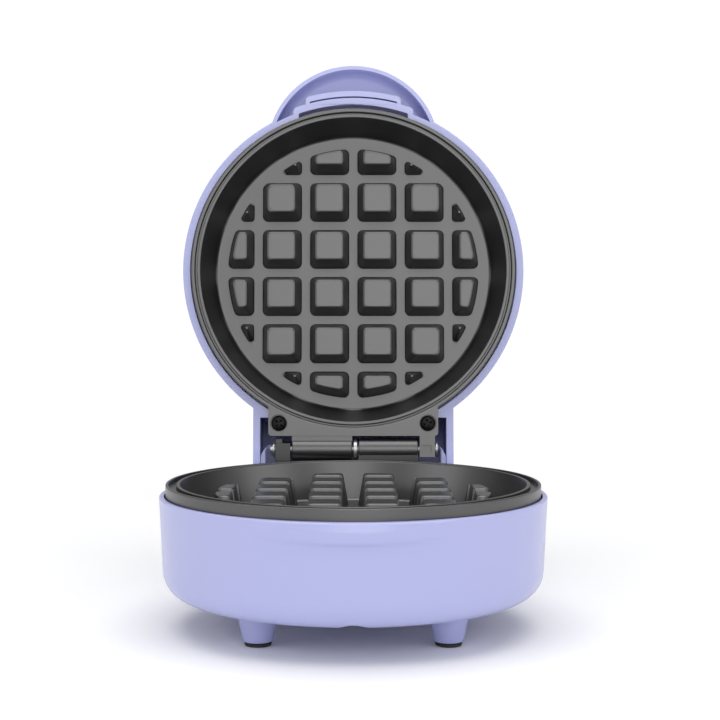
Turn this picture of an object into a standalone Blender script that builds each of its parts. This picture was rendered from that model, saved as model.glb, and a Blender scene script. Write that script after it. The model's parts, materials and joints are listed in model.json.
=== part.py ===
"""A small round waffle maker for one 4 inch waffle, standing open on its rear hinge.

Every piece is first made where it lies with the lid closed, in a frame whose origin is on the floor
under the middle of the drum: +X to the right, +Y to the hinge, +Z up. The lid's pieces then hang on an
empty on the hinge axis that is turned back by OPEN_ANGLE, and the whole is centred over the origin.
"""

import math
from collections import namedtuple

import bmesh
import bpy
from mathutils import Matrix, Vector

MM = 0.001
GAP = 0.3 * MM
ROUND = 40
SMALL_ROUND = 8
HAIR = 0.5 * MM

# Drum: the turned outline that base and lid share
DRUM_RADIUS = 63.0 * MM
DRUM_TAPER = 1.5 * MM
DRUM_CORNER = 8.5 * MM
WALL = 2.0 * MM
BASE_BOTTOM = 10.8 * MM
BASE_FLOOR = 4.0 * MM
LID_TOP = 82.0 * MM
RIM_TO_SHELL = 3.7 * MM
NOTCH_RADIUS = 7.6 * MM

# Cooking plates
LOWER_RIM = 47.0 * MM
UPPER_RIM = LOWER_RIM + GAP
BOWL_DEPTH = 13.5 * MM
BOWL_FLOOR_RADIUS = 51.6 * MM
CREST_RADIUS = 56.3 * MM
CREST_WIDTH = 1.1 * MM
GROOVE_DEPTH = 1.6 * MM
LOWER_RING_RADIUS = 60.9 * MM
UPPER_RING_RADIUS = 59.6 * MM
LOWER_RING_WIDTH = 1.1 * MM
UPPER_RING_WIDTH = 1.4 * MM
SKIRT_DEPTH = 6.0 * MM
SKIRT_WALL = 1.7 * MM
PLATE_THICKNESS = 2.4 * MM

# Pegs of the waffle grid
PEG_PITCH = 17.77 * MM
PEG_COUNT = 6
PEG_BASE = 14.3 * MM
PEG_TOP = 10.5 * MM
PEG_HEIGHT = 10.9 * MM
PEG_EDGE = 0.7 * MM
PEG_CORNER = 1.9 * MM
GRID_BASE_RADIUS = 46.8 * MM
GRID_TOP_RADIUS = 44.9 * MM

# Hinge
HINGE_Y = 66.3 * MM
HINGE_Z = 50.3 * MM
OPEN_ANGLE = math.radians(97.0)
BARREL_RADIUS = 4.0 * MM
PIN_RADIUS = 1.5 * MM
PIN_CLEARANCE = 0.15 * MM
UPPER_BARREL = (-22.4 * MM, -0.4 * MM)
LOWER_BARREL = (1.9 * MM, 23.6 * MM)
LOWER_LUG = (-28.4 * MM, -23.0 * MM)
UPPER_LUG = (24.2 * MM, 29.8 * MM)
WASHER_SPAN = (0.1 * MM, 1.4 * MM)
PIN_SPAN = (-30.6 * MM, 31.2 * MM)
WEB_HALF_WIDTH = 31.0 * MM
WEB_EDGE = HINGE_Y - 4.9 * MM
UPPER_WEB_THICKNESS = 3.2 * MM
LOWER_WEB_THICKNESS = 2.6 * MM
WEB_FRONT = 44.0 * MM
LUG_REACH = 2.8 * MM
UPPER_LUG_HEIGHT = 3.0 * MM
LOWER_LUG_HEIGHT = 2.6 * MM
TAB_HEIGHT = 3.9 * MM
SINK_RADIUS = 3.2 * MM
SINK_DEPTH = 1.9 * MM
CLIP_RADIUS = 2.7 * MM
CLIP_THICKNESS = 0.7 * MM
WASHER_RADIUS = 3.7 * MM
LEG_REACH = 3.6 * MM
EAR_X = 27.2 * MM
UPPER_EAR_Y = HINGE_Y - 9.5 * MM
LOWER_EAR_Y = HINGE_Y - 7.2 * MM

# Hinge tower of the base and hood of the lid
TOWER_HALF_WIDTH = 33.3 * MM
TOWER_WALL = 1.6 * MM
TOWER_FRONT = 54.9 * MM
TOWER_BACK = 72.3 * MM
TOWER_TOP = HINGE_Z + 1.2 * MM
TOWER_CORNER = 3.0 * MM
TOWER_FOOT_FRONT = 49.0 * MM
TOWER_ROOM_FRONT = 44.0 * MM
HOOD_HALF_WIDTH = 36.8 * MM
HOOD_WALL = 2.6 * MM
HOOD_BACK = 76.1 * MM
HOOD_SHOULDER = 66.0 * MM
HOOD_BACK_EDGE = HINGE_Z + 8.0 * MM
HOOD_INNER_FRONT = 54.6 * MM
HOOD_CORNER = 3.0 * MM
HOOD_FRONT = 42.0 * MM
HOOD_SLOPE_END = 52.0 * MM
HOOD_TOP = LID_TOP - 4.0 * MM

# Handle of the lid and chin of the base
HANDLE_RADIUS = 32.0 * MM
HANDLE_Y = -44.0 * MM
HANDLE_DEPTH = 10.0 * MM
HANDLE_WALL = 1.8 * MM
HANDLE_SKIN = 2.0 * MM
POCKET_WALL_RADIUS = 62.2 * MM
BUMP_HALF_WIDTH = 22.3 * MM
BUMP_INNER = 61.6 * MM
BUMP_OUTER = 63.7 * MM
BUMP_DEPTH = 6.0 * MM
RIB_HALF_WIDTH = 17.7 * MM
RIB_INNER = 64.5 * MM
RIB_OUTER = 66.2 * MM
CHIN_RADIUS = 50.0 * MM
CHIN_TIP = -64.8 * MM
CHIN_HEIGHT = 7.0 * MM

# Feet and bottom cover
FOOT_TOP_RADIUS = 6.5 * MM
FOOT_BOTTOM_RADIUS = 4.6 * MM
FRONT_FOOT = (29.5 * MM, -29.5 * MM)
REAR_FOOT = (20.0 * MM, 61.0 * MM)
PAD_THICKNESS = 1.0 * MM
COVER_THICKNESS = 1.7 * MM
COVER_RADIUS = 50.0 * MM
COVER_LEDGE = 4.0 * MM
TONGUE_HALF_WIDTH = 27.6 * MM
TONGUE_BACK = 69.0 * MM
TONGUE_SCREW_X = 10.0 * MM

# Heating
HEATER_RADIUS = 40.0 * MM
HEATER_TUBE = 3.2 * MM
SHIELD_RADIUS = 52.0 * MM
SHIELD_DEPTH = 23.6 * MM
SHIELD_THICKNESS = 0.8 * MM
SHIELD_SCREW_X = 22.0 * MM
BOSS_RADIUS = 3.4 * MM
SCREW_RADIUS = 1.5 * MM
SCREW_HOLE = SCREW_RADIUS + GAP
SCREW_HEAD = 2.8 * MM
SCREW_HEAD_HEIGHT = 1.6 * MM
SHIELD_LIP = 6.0 * MM

# Signal lamp
LENS_Y = -30.0 * MM
LENS_RADIUS = 3.0 * MM
LENS_FLANGE = 3.9 * MM
LENS_DOME = 1.4 * MM
LAMP_RADIUS = 2.0 * MM
LAMP_LENGTH = 4.2 * MM
SLEEVE_RADIUS = 1.2 * MM

# Supply lead
GLAND_Z = 22.5 * MM
GLAND_BORE = 3.2 * MM
GLAND_HOLE = 4.6 * MM
GLAND_FLANGE = 6.4 * MM
CLAMP_Y = 56.0 * MM
CLAMP_SCREW_X = 7.5 * MM
CLAMP_BOSS_HEIGHT = 6.0 * MM
STUD_RADIUS = 1.8 * MM
STUD_LENGTH = 5.0 * MM

COPLANAR_PIECES = {"lower_plate", "upper_plate", "lid_shell"}

Half = namedtuple("Half", "name rim sense ring ring_width web_depth web_thickness web_back")
LOWER = Half(
    "lower", LOWER_RIM, -1, LOWER_RING_RADIUS, LOWER_RING_WIDTH, RIM_TO_SHELL, LOWER_WEB_THICKNESS,
    TOWER_BACK - TOWER_WALL - GAP - HAIR,
)
UPPER = Half(
    "upper", UPPER_RIM, 1, UPPER_RING_RADIUS, UPPER_RING_WIDTH, 0.0, UPPER_WEB_THICKNESS, WEB_EDGE
)
BASE_EDGE = LOWER_RIM - RIM_TO_SHELL
LID_EDGE = UPPER_RIM + RIM_TO_SHELL


def level(half, depth):
    """Height of a plane that lies depth below the rim of a plate, towards its own shell."""
    return half.rim + half.sense * depth


# Mesh tools -----------------------------------------------------------------------------------------


def finish_mesh(name, bm):
    """Turn a bmesh into an object whose faces point outwards."""
    bmesh.ops.remove_doubles(bm, verts=bm.verts, dist=1e-7)
    bmesh.ops.recalc_face_normals(bm, faces=bm.faces)
    mesh = bpy.data.meshes.new(name)
    bm.to_mesh(mesh)
    bm.free()
    piece = bpy.data.objects.new(name, mesh)
    bpy.context.scene.collection.objects.link(piece)
    return piece


def turned(name, profile, centre=(0.0, 0.0), sides=ROUND):
    """A solid turned about a vertical line from an outline of (radius, height) points.

    An outline that starts and ends on the line is closed by it; any other is a ring.
    """
    bm = bmesh.new()
    points = [bm.verts.new((radius, 0.0, height)) for radius, height in profile]
    on_axis = profile[0][0] == 0.0 and profile[-1][0] == 0.0
    ends = points if on_axis else points + points[:1]
    edges = [bm.edges.new(pair) for pair in zip(ends, ends[1:])]
    bmesh.ops.spin(
        bm, geom=points + edges, cent=(0, 0, 0), axis=(0, 0, 1), angle=math.tau, steps=sides, use_merge=True
    )
    bmesh.ops.translate(bm, verts=bm.verts, vec=(centre[0], centre[1], 0.0))
    return finish_mesh(name, bm)


def prism(name, outline, low, high):
    """An upright prism over an outline of (x, y) points."""
    bm = bmesh.new()
    face = bm.faces.new([bm.verts.new((x, y, low)) for x, y in outline])
    grown = bmesh.ops.extrude_face_region(bm, geom=[face])
    top = [item for item in grown["geom"] if isinstance(item, bmesh.types.BMVert)]
    bmesh.ops.translate(bm, verts=top, vec=(0.0, 0.0, high - low))
    return finish_mesh(name, bm)


def side_prism(name, outline, half_width):
    """A prism across the object, over an outline of (y, z) points, as wide as twice half_width."""
    bm = bmesh.new()
    face = bm.faces.new([bm.verts.new((-half_width, y, z)) for y, z in outline])
    grown = bmesh.ops.extrude_face_region(bm, geom=[face])
    far = [item for item in grown["geom"] if isinstance(item, bmesh.types.BMVert)]
    bmesh.ops.translate(bm, verts=far, vec=(2.0 * half_width, 0.0, 0.0))
    return finish_mesh(name, bm)


def box(name, low, high):
    """A block between two corners."""
    middle = (Vector(low) + Vector(high)) / 2
    size = Vector(high) - Vector(low)
    bm = bmesh.new()
    bmesh.ops.create_cube(bm, size=1.0, matrix=Matrix.Translation(middle) @ Matrix.Diagonal((*size, 1.0)))
    return finish_mesh(name, bm)


def rod(name, start, end, radius, end_radius=None, sides=SMALL_ROUND):
    """A round bar or a cone between two points."""
    start, end = Vector(start), Vector(end)
    turn = (end - start).to_track_quat("Z", "X").to_matrix().to_4x4()
    bm = bmesh.new()
    bmesh.ops.create_cone(
        bm,
        cap_ends=True,
        segments=sides,
        radius1=radius,
        radius2=radius if end_radius is None else end_radius,
        depth=(end - start).length,
        matrix=Matrix.Translation((start + end) / 2) @ turn,
    )
    return finish_mesh(name, bm)


def tube(name, points, radius):
    """A solid round tube along a smooth row of points."""
    curve = bpy.data.curves.new(name, "CURVE")
    curve.dimensions = "3D"
    curve.bevel_depth = radius
    curve.bevel_resolution = 2
    curve.use_fill_caps = True
    spline = curve.splines.new("POLY")
    spline.points.add(len(points) - 1)
    for knot, point in zip(spline.points, points):
        knot.co = (*point, 1.0)
    path = bpy.data.objects.new(name, curve)
    bpy.context.scene.collection.objects.link(path)
    bm = bmesh.new()
    bm.from_mesh(evaluated_mesh(path))
    bpy.data.objects.remove(path)
    return finish_mesh(name, bm)


def evaluated_mesh(piece):
    """The piece's mesh with its modifiers worked out."""
    graph = bpy.context.evaluated_depsgraph_get()
    graph.update()
    return bpy.data.meshes.new_from_object(piece.evaluated_get(graph))


def combine(piece, tools, operation):
    """Apply one Boolean for each tool, and remove the tools.

    The plates and the lid have many faces in one plane, where EXACT leaves edges open.
    """
    for tool in tools:
        step = piece.modifiers.new("cut", "BOOLEAN")
        step.operation = operation
        step.solver = "MANIFOLD" if piece.name in COPLANAR_PIECES else "EXACT"
        step.object = tool
        mesh = evaluated_mesh(piece)
        piece.modifiers.clear()
        piece.data = mesh
        bpy.data.objects.remove(tool)
    return piece


def fuse(piece, *tools):
    """Join the tools to the piece."""
    return combine(piece, tools, "UNION")


def carve(piece, *tools):
    """Cut the tools out of the piece."""
    return combine(piece, tools, "DIFFERENCE")


def trim(piece, *tools):
    """Keep what lies inside the tools."""
    return combine(piece, tools, "INTERSECT")


def arc(centre, radius, start, end, steps):
    """Points of an arc between two angles in degrees, both ends included."""
    angles = [math.radians(start + (end - start) * step / steps) for step in range(steps + 1)]
    return [(centre[0] + radius * math.cos(a), centre[1] + radius * math.sin(a)) for a in angles]


# Finishes -------------------------------------------------------------------------------------------

Finish = namedtuple("Finish", "colour roughness metallic")
FINISHES = {
    "lavender_plastic": Finish((0.42, 0.44, 0.72), 0.38, 0.0),
    "coated_plate": Finish((0.13, 0.13, 0.13), 0.55, 0.4),
    "black_screw": Finish((0.02, 0.02, 0.02), 0.4, 0.8),
    "steel": Finish((0.55, 0.55, 0.56), 0.3, 1.0),
    "shield_steel": Finish((0.62, 0.63, 0.64), 0.35, 1.0),
    "rubber": Finish((0.03, 0.03, 0.03), 0.8, 0.0),
    "element": Finish((0.12, 0.11, 0.10), 0.5, 0.9),
    "ceramic": Finish((0.75, 0.72, 0.66), 0.6, 0.0),
    "lens": Finish((0.70, 0.05, 0.03), 0.15, 0.0),
    "lamp_glass": Finish((0.85, 0.55, 0.45), 0.1, 0.0),
    "sleeve": Finish((0.80, 0.78, 0.70), 0.85, 0.0),
}


def material(name):
    """The Principled material of a finish, made once."""
    found = bpy.data.materials.get(name)
    if found:
        return found
    made = bpy.data.materials.new(name)
    made.use_nodes = True
    shader = made.node_tree.nodes["Principled BSDF"]
    look = FINISHES[name]
    shader.inputs["Base Color"].default_value = (*look.colour, 1.0)
    shader.inputs["Roughness"].default_value = look.roughness
    shader.inputs["Metallic"].default_value = look.metallic
    return made


def settle(piece, owner, finish):
    """Give a piece its finish and hang it on the empty that carries it."""
    piece.data.transform(Matrix.Translation(-owner.location))
    piece.data.materials.clear()
    piece.data.materials.append(material(finish))
    piece.data.shade_smooth()
    piece.data.set_sharp_from_angle(angle=math.radians(35))
    piece.parent = owner


def carrier(name, anchor, turn, parent=None):
    """An empty at anchor, turned about X, that carries pieces made in the closed frame."""
    empty = bpy.data.objects.new(name, None)
    bpy.context.scene.collection.objects.link(empty)
    empty.location = anchor
    empty.rotation_euler.x = turn
    empty.parent = parent
    return empty


# Shells ---------------------------------------------------------------------------------------------


def drum_profile(edge, end, sense, rim_inner, floor):
    """Outline of a drum from its edge to its closed end: outer side, round corner and inner side.

    sense is the direction from the edge to the end, and floor the thickness of the end.
    """
    outer = DRUM_RADIUS - DRUM_TAPER
    centre = (outer - DRUM_CORNER, end - sense * DRUM_CORNER)
    round_out = arc(centre, DRUM_CORNER, 0, 90, 5)
    inner_radius = DRUM_CORNER - WALL
    inner_centre = (centre[0], end - sense * (floor + inner_radius))
    round_in = arc(inner_centre, inner_radius, 90, 0, 3)
    outside = [(r, centre[1] + sense * (z - centre[1])) for r, z in round_out]
    inside = [(r, inner_centre[1] + sense * (z - inner_centre[1])) for r, z in round_in]
    lip = [(rim_inner, edge), (DRUM_RADIUS - HAIR, edge), (DRUM_RADIUS, edge + sense * HAIR)]
    below_lip = [(rim_inner, edge + sense * SKIRT_DEPTH)]
    closing = (0.0, end - sense * floor)
    return [(0.0, end), *outside[::-1], *lip[::-1], *below_lip, *inside[::-1], closing]


def keyhole(radius, half_width, back):
    """A round outline with a square tongue towards the hinge."""
    meet = math.degrees(math.asin(half_width / radius))
    outline = arc((0, 0), radius, 90 + meet, 450 - meet, 30)
    return [*outline, (half_width, back), (-half_width, back)]


def base_shell(base):
    """Drum of the base with its hinge tower, chin, ledge for the cover and plate bosses."""
    low = BASE_BOTTOM
    lip_radius = LOWER_RING_RADIUS + GAP + 0.1 * MM
    shell = turned("base_shell", drum_profile(BASE_EDGE, low, -1, lip_radius, BASE_FLOOR))
    tower_low = box(
        "tower_low",
        (-TOWER_HALF_WIDTH, TOWER_FOOT_FRONT, low),
        (TOWER_HALF_WIDTH, TOWER_BACK, LOWER_RIM - SKIRT_DEPTH),
    )
    tower = prism(
        "tower",
        [(-TOWER_HALF_WIDTH, TOWER_FRONT), (TOWER_HALF_WIDTH, TOWER_FRONT), *tower_back_outline()],
        low,
        TOWER_TOP,
    )
    trim(tower, side_rounded_block("tower_limit"))
    chin_middle = CHIN_TIP + CHIN_RADIUS
    chin = turned(
        "chin",
        [
            (0.0, BASE_EDGE - HAIR),
            (CHIN_RADIUS - HAIR, BASE_EDGE - HAIR),
            (CHIN_RADIUS, BASE_EDGE - 2 * HAIR),
            (CHIN_RADIUS, BASE_EDGE - CHIN_HEIGHT + 2 * HAIR),
            (CHIN_RADIUS - 2 * HAIR, BASE_EDGE - CHIN_HEIGHT),
            (0.0, BASE_EDGE - CHIN_HEIGHT),
        ],
        (0.0, chin_middle),
    )
    core_low, core_high = (0, 0, BASE_EDGE - 2 * CHIN_HEIGHT), (0, 0, BASE_EDGE + CHIN_HEIGHT)
    carve(chin, rod("core", core_low, core_high, DRUM_RADIUS - MM, sides=ROUND))
    fuse(shell, tower_low, tower, chin)
    inner_x = TOWER_HALF_WIDTH - TOWER_WALL
    room = box(
        "room",
        (-inner_x, TOWER_ROOM_FRONT, low + BASE_FLOOR),
        (inner_x, TOWER_BACK - TOWER_WALL, TOWER_TOP + 5 * MM),
    )
    carve(shell, room)
    for side in (-1, 1):
        boss = rod(
            "boss",
            (side * EAR_X, LOWER_EAR_Y, low + BASE_FLOOR - HAIR),
            (side * EAR_X, LOWER_EAR_Y, level(LOWER, LOWER.web_depth + LOWER.web_thickness) - GAP),
            BOSS_RADIUS,
        )
        fuse(shell, boss)
    recess = prism(
        "recess",
        keyhole(COVER_RADIUS + GAP, TONGUE_HALF_WIDTH + GAP, TONGUE_BACK + GAP),
        low - MM,
        low + COVER_THICKNESS + GAP,
    )
    opening = prism(
        "opening",
        keyhole(COVER_RADIUS - COVER_LEDGE, TONGUE_HALF_WIDTH - COVER_LEDGE, TONGUE_BACK - COVER_LEDGE),
        low,
        low + 2 * BASE_FLOOR,
    )
    carve(shell, recess, opening)
    for x, y in cover_screw_places():
        carve(shell, rod("hole", (x, y, low), (x, y, low + 2 * BASE_FLOOR), SCREW_HOLE))
    hole_end = level(LOWER, LOWER.web_depth)
    for side in (-1, 1):
        place = (side * EAR_X, LOWER_EAR_Y)
        carve(shell, rod("hole", (*place, 24 * MM), (*place, hole_end), SCREW_HOLE))
    hole_ends = (0, TOWER_BACK - 3 * WALL, GLAND_Z), (0, TOWER_BACK + WALL, GLAND_Z)
    notch_z = low - 6 * MM
    notch_ends = (0, -DRUM_RADIUS, notch_z), (0, -COVER_RADIUS - MM, notch_z)
    gland_hole = rod("gland_hole", *hole_ends, GLAND_HOLE, sides=24)
    notch = rod("notch", *notch_ends, NOTCH_RADIUS, sides=32)
    carve(shell, gland_hole, notch)
    settle(shell, base, "lavender_plastic")


def tower_back_outline():
    """The back corners of the tower, seen from above, rounded."""
    reach = TOWER_HALF_WIDTH - TOWER_CORNER / 2
    back = TOWER_BACK - TOWER_CORNER / 2
    right = arc((reach, back), TOWER_CORNER / 2, 0, 90, 3)
    left = arc((-reach, back), TOWER_CORNER / 2, 90, 180, 3)
    return [*right, *left]


def side_rounded_block(name):
    """A block over the tower with rounded shoulders along the front view's outline."""
    reach = TOWER_HALF_WIDTH - TOWER_CORNER
    shoulder = TOWER_TOP - TOWER_CORNER
    outline = [
        (-TOWER_HALF_WIDTH, BASE_BOTTOM - MM),
        (TOWER_HALF_WIDTH, BASE_BOTTOM - MM),
        *arc((reach, shoulder), TOWER_CORNER, 0, 90, 4),
        *arc((-reach, shoulder), TOWER_CORNER, 90, 180, 4),
    ]
    bm = bmesh.new()
    face = bm.faces.new([bm.verts.new((x, TOWER_FRONT - MM, z)) for x, z in outline])
    grown = bmesh.ops.extrude_face_region(bm, geom=[face])
    far = [item for item in grown["geom"] if isinstance(item, bmesh.types.BMVert)]
    bmesh.ops.translate(bm, verts=far, vec=(0.0, TOWER_BACK - TOWER_FRONT + 2 * MM, 0.0))
    return finish_mesh(name, bm)


def crescent(name, radius, inner_radius, low, high):
    """The part of the handle's disc that stands outside a circle about the drum's axis."""
    disc = rod(name, (0, HANDLE_Y, low), (0, HANDLE_Y, high), radius, sides=ROUND)
    core = rod("core", (0, 0, low - MM), (0, 0, high + MM), inner_radius, sides=ROUND)
    return carve(disc, core)


def arc_block(name, inner, outer, half_width, low, high):
    """A stretch of a round wall at the front, as wide as twice half_width."""
    spread_out = math.degrees(math.asin(half_width / outer))
    spread_in = math.degrees(math.asin(half_width / inner))
    outside = arc((0, 0), outer, 270 - spread_out, 270 + spread_out, 14)
    inside = arc((0, 0), inner, 270 + spread_in, 270 - spread_in, 14)
    return prism(name, [*outside, *inside], low, high)


def handle(shell):
    """Add the scooped half-round handle, the bumped-out rim and the slotted rib inside it."""
    low = LID_EDGE
    high = LID_EDGE + HANDLE_DEPTH
    body = turned(
        "handle",
        [
            (0.0, low),
            (HANDLE_RADIUS - HAIR, low),
            (HANDLE_RADIUS, low + HAIR),
            (HANDLE_RADIUS, high - 2 * MM),
            (HANDLE_RADIUS - 2 * MM, high),
            (0.0, high),
        ],
        (0.0, HANDLE_Y),
    )
    core = rod("core", (0, 0, low - MM), (0, 0, high + MM), DRUM_RADIUS - 1.6 * MM, sides=ROUND)
    carve(body, core)
    fuse(shell, body)
    pocket = crescent(
        "pocket", HANDLE_RADIUS - HANDLE_WALL, POCKET_WALL_RADIUS, low - MM, high - HANDLE_SKIN
    )
    carve(shell, pocket)
    floor = high - HANDLE_SKIN + HAIR
    bump = arc_block("bump", UPPER_RING_RADIUS + MM, BUMP_OUTER, BUMP_HALF_WIDTH, low, floor)
    rib = arc_block("rib", BUMP_OUTER - HAIR, RIB_OUTER, RIB_HALF_WIDTH, low, floor)
    fuse(shell, bump, rib)
    behind = arc_block(
        "behind", UPPER_RING_RADIUS, BUMP_INNER, BUMP_HALF_WIDTH - 2 * MM, low - MM, low + BUMP_DEPTH
    )
    slot = arc_block("slot", BUMP_OUTER, RIB_INNER, RIB_HALF_WIDTH - 1.5 * MM, low - MM, low + BUMP_DEPTH)
    carve(shell, behind, slot)


def hood_outline(inset, front):
    """Side outline of the hood over the hinge: (y, z) points, drawn in by inset."""
    back = HOOD_BACK - inset
    return [
        (front, LID_EDGE),
        (back, LID_EDGE),
        (back, HOOD_SHOULDER - inset / 2),
        (back - HOOD_CORNER, HOOD_SHOULDER + HOOD_CORNER - inset),
        (HOOD_SLOPE_END, HOOD_TOP - inset),
        (front, HOOD_TOP - inset),
    ]


def lid_shell(lid):
    """Drum of the lid with its handle, its hood over the hinge and the bosses for the plate."""
    shell = turned("lid_shell", drum_profile(LID_EDGE, LID_TOP, 1, UPPER_RING_RADIUS + 2 * GAP, WALL))
    hood = side_prism("hood", hood_outline(0.0, HOOD_FRONT), HOOD_HALF_WIDTH)
    inside = turned("inside", inner_room_profile())
    carve(hood, inside)
    fuse(shell, hood)
    handle(shell)
    inner_x = HOOD_HALF_WIDTH - HOOD_WALL
    room = side_prism("room", hood_outline(HOOD_WALL, HOOD_INNER_FRONT), inner_x)
    back = HOOD_BACK - HOOD_WALL
    below = box("below", (-inner_x, HOOD_INNER_FRONT, LID_EDGE - MM), (inner_x, back, LID_EDGE + MM))
    mouth = box(
        "mouth", (-inner_x, back - HOOD_WALL, LID_EDGE - MM), (inner_x, HOOD_BACK + MM, HOOD_BACK_EDGE)
    )
    carve(shell, room, below, mouth)
    boss_start = level(UPPER, UPPER.web_depth + UPPER.web_thickness) + GAP
    for side in (-1, 1):
        place = (side * EAR_X, UPPER_EAR_Y)
        fuse(shell, rod("boss", (*place, boss_start), (*place, LID_TOP - 4 * WALL), BOSS_RADIUS))
        carve(shell, rod("hole", (*place, boss_start - MM), (*place, boss_start + 13 * MM), SCREW_HOLE))
    hole_ends = (0, LENS_Y, LID_TOP - 2 * WALL), (0, LENS_Y, LID_TOP + WALL)
    carve(shell, rod("lens_hole", *hole_ends, LENS_RADIUS + GAP, sides=24))
    settle(shell, lid, "lavender_plastic")


def inner_room_profile():
    """The room inside the lid's drum, a little larger than the drum's inner side."""
    radius = DRUM_RADIUS - DRUM_TAPER - WALL + HAIR
    top = LID_TOP - WALL + HAIR
    corner = DRUM_CORNER - WALL
    round_top = arc((radius - corner, top - corner), corner, 0, 90, 4)
    return [(0.0, LID_EDGE - MM), (radius + MM, LID_EDGE - MM), *round_top, (0.0, top)]


# Cooking plates -------------------------------------------------------------------------------------


def bowl_profile(half):
    """Cross-section of a plate from its middle to its skirt and back under the bowl."""
    groove_out = half.ring - half.ring_width
    points = [
        (0.0, BOWL_DEPTH),
        (BOWL_FLOOR_RADIUS - MM, BOWL_DEPTH),
        (BOWL_FLOOR_RADIUS, BOWL_DEPTH - MM),
        (CREST_RADIUS - 0.3 * MM, 0.4 * MM),
        (CREST_RADIUS, 0.0),
        (CREST_RADIUS + CREST_WIDTH - 0.2 * MM, 0.0),
        (CREST_RADIUS + CREST_WIDTH, GROOVE_DEPTH),
        (groove_out, GROOVE_DEPTH),
        (groove_out + 0.2 * MM, 0.0),
        (half.ring - 0.3 * MM, 0.0),
        (half.ring, 0.3 * MM),
        (half.ring, SKIRT_DEPTH),
        (half.ring - SKIRT_WALL, SKIRT_DEPTH),
        (half.ring - SKIRT_WALL, GROOVE_DEPTH + PLATE_THICKNESS),
        (CREST_RADIUS + 0.2 * MM, GROOVE_DEPTH + PLATE_THICKNESS),
        (BOWL_FLOOR_RADIUS + PLATE_THICKNESS, BOWL_DEPTH + PLATE_THICKNESS),
        (0.0, BOWL_DEPTH + PLATE_THICKNESS),
    ]
    return [(radius, level(half, depth)) for radius, depth in points]


def rounded_square(x, y, width, corner):
    """Corner-rounded square outline about a middle."""
    reach = width / 2 - corner
    outline = []
    for quarter, (sx, sy) in enumerate(((1, 1), (-1, 1), (-1, -1), (1, -1))):
        outline += arc((x + sx * reach, y + sy * reach), corner, 90 * quarter, 90 * quarter + 90, 1)
    return outline


def add_peg(bm, half, x, y):
    """One tapered peg with a rounded top edge, its foot sunk into the bowl's floor."""
    top_depth = BOWL_DEPTH - PEG_HEIGHT
    slope = (PEG_BASE - PEG_TOP) / PEG_HEIGHT
    sections = [
        (BOWL_DEPTH + HAIR, PEG_BASE + slope * HAIR, PEG_CORNER),
        (top_depth + PEG_EDGE, PEG_TOP + slope * PEG_EDGE, PEG_CORNER),
        (top_depth, PEG_TOP - 2 * PEG_EDGE, PEG_CORNER - PEG_EDGE),
    ]
    loops = []
    for depth, width, corner in sections:
        outline = rounded_square(x, y, width, corner)
        loops.append([bm.verts.new((px, py, level(half, depth))) for px, py in outline])
    bm.faces.new(loops[0])
    bm.faces.new(loops[-1])
    for lower, upper in zip(loops, loops[1:]):
        for index in range(len(lower)):
            after = (index + 1) % len(lower)
            bm.faces.new((lower[index], lower[after], upper[after], upper[index]))


def peg_grid(half):
    """The pegs of one plate: whole ones, and those that the grid's circle cuts."""
    whole, cut = bmesh.new(), bmesh.new()
    first = -(PEG_COUNT - 1) / 2
    for row in range(PEG_COUNT):
        for column in range(PEG_COUNT):
            x, y = (first + column) * PEG_PITCH, (first + row) * PEG_PITCH
            near = math.hypot(abs(x) - PEG_BASE / 2, abs(y) - PEG_BASE / 2)
            far = math.hypot(abs(x) + PEG_TOP / 2, abs(y) + PEG_TOP / 2)
            if near < GRID_TOP_RADIUS:
                add_peg(cut if far > GRID_TOP_RADIUS else whole, half, x, y)
    edge = finish_mesh("edge_pegs", cut)
    top_depth = BOWL_DEPTH - PEG_HEIGHT
    disc = [
        (0.0, level(half, BOWL_DEPTH + 2 * HAIR)),
        (GRID_BASE_RADIUS, level(half, BOWL_DEPTH + 2 * HAIR)),
        (GRID_TOP_RADIUS, level(half, top_depth + PEG_EDGE)),
        (GRID_TOP_RADIUS - PEG_EDGE, level(half, top_depth)),
        (0.0, level(half, top_depth - HAIR)),
    ]
    trim(edge, turned("grid_disc", disc))
    return finish_mesh("whole_pegs", whole), edge


def plate_web(half):
    """Flat web between the ring and the hinge, trimmed to the ring's outside."""
    near, far = level(half, half.web_depth), level(half, half.web_depth + half.web_thickness)
    web = box(
        "web",
        (-WEB_HALF_WIDTH, WEB_FRONT, min(near, far)),
        (WEB_HALF_WIDTH, half.web_back, max(near, far)),
    )
    low, high = min(near, far) - MM, max(near, far) + MM
    core = rod("core", (0, 0, low), (0, 0, high), half.ring - SKIRT_WALL / 2, sides=ROUND)
    return carve(web, core)


def plate_base(half):
    """Bowl, pegs and web of one plate, with two bosses below for the heat shield."""
    plate = turned(f"{half.name}_plate", bowl_profile(half))
    fuse(plate, plate_web(half))
    fuse(plate, *peg_grid(half))
    boss_start = level(half, BOWL_DEPTH + PLATE_THICKNESS - HAIR)
    boss_end = level(half, SHIELD_DEPTH - GAP)
    for side in (-1, 1):
        x = side * SHIELD_SCREW_X
        fuse(plate, rod("boss", (x, 0, boss_start), (x, 0, boss_end), BOSS_RADIUS))
        hole_ends = (x, 0, level(half, SHIELD_DEPTH)), (x, 0, level(half, SHIELD_DEPTH - 5 * MM))
        carve(plate, rod("hole", *hole_ends, SCREW_HOLE))
    return plate


def along_hinge(name, span, radius, sides=20):
    """A round bar on the hinge axis between two places along X."""
    return rod(name, (span[0], HINGE_Y, HINGE_Z), (span[1], HINGE_Y, HINGE_Z), radius, sides=sides)


def pin_hole():
    """The bore that every barrel and lug has for the pin."""
    return along_hinge("bore", (-45 * MM, 45 * MM), PIN_RADIUS + PIN_CLEARANCE)


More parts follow.
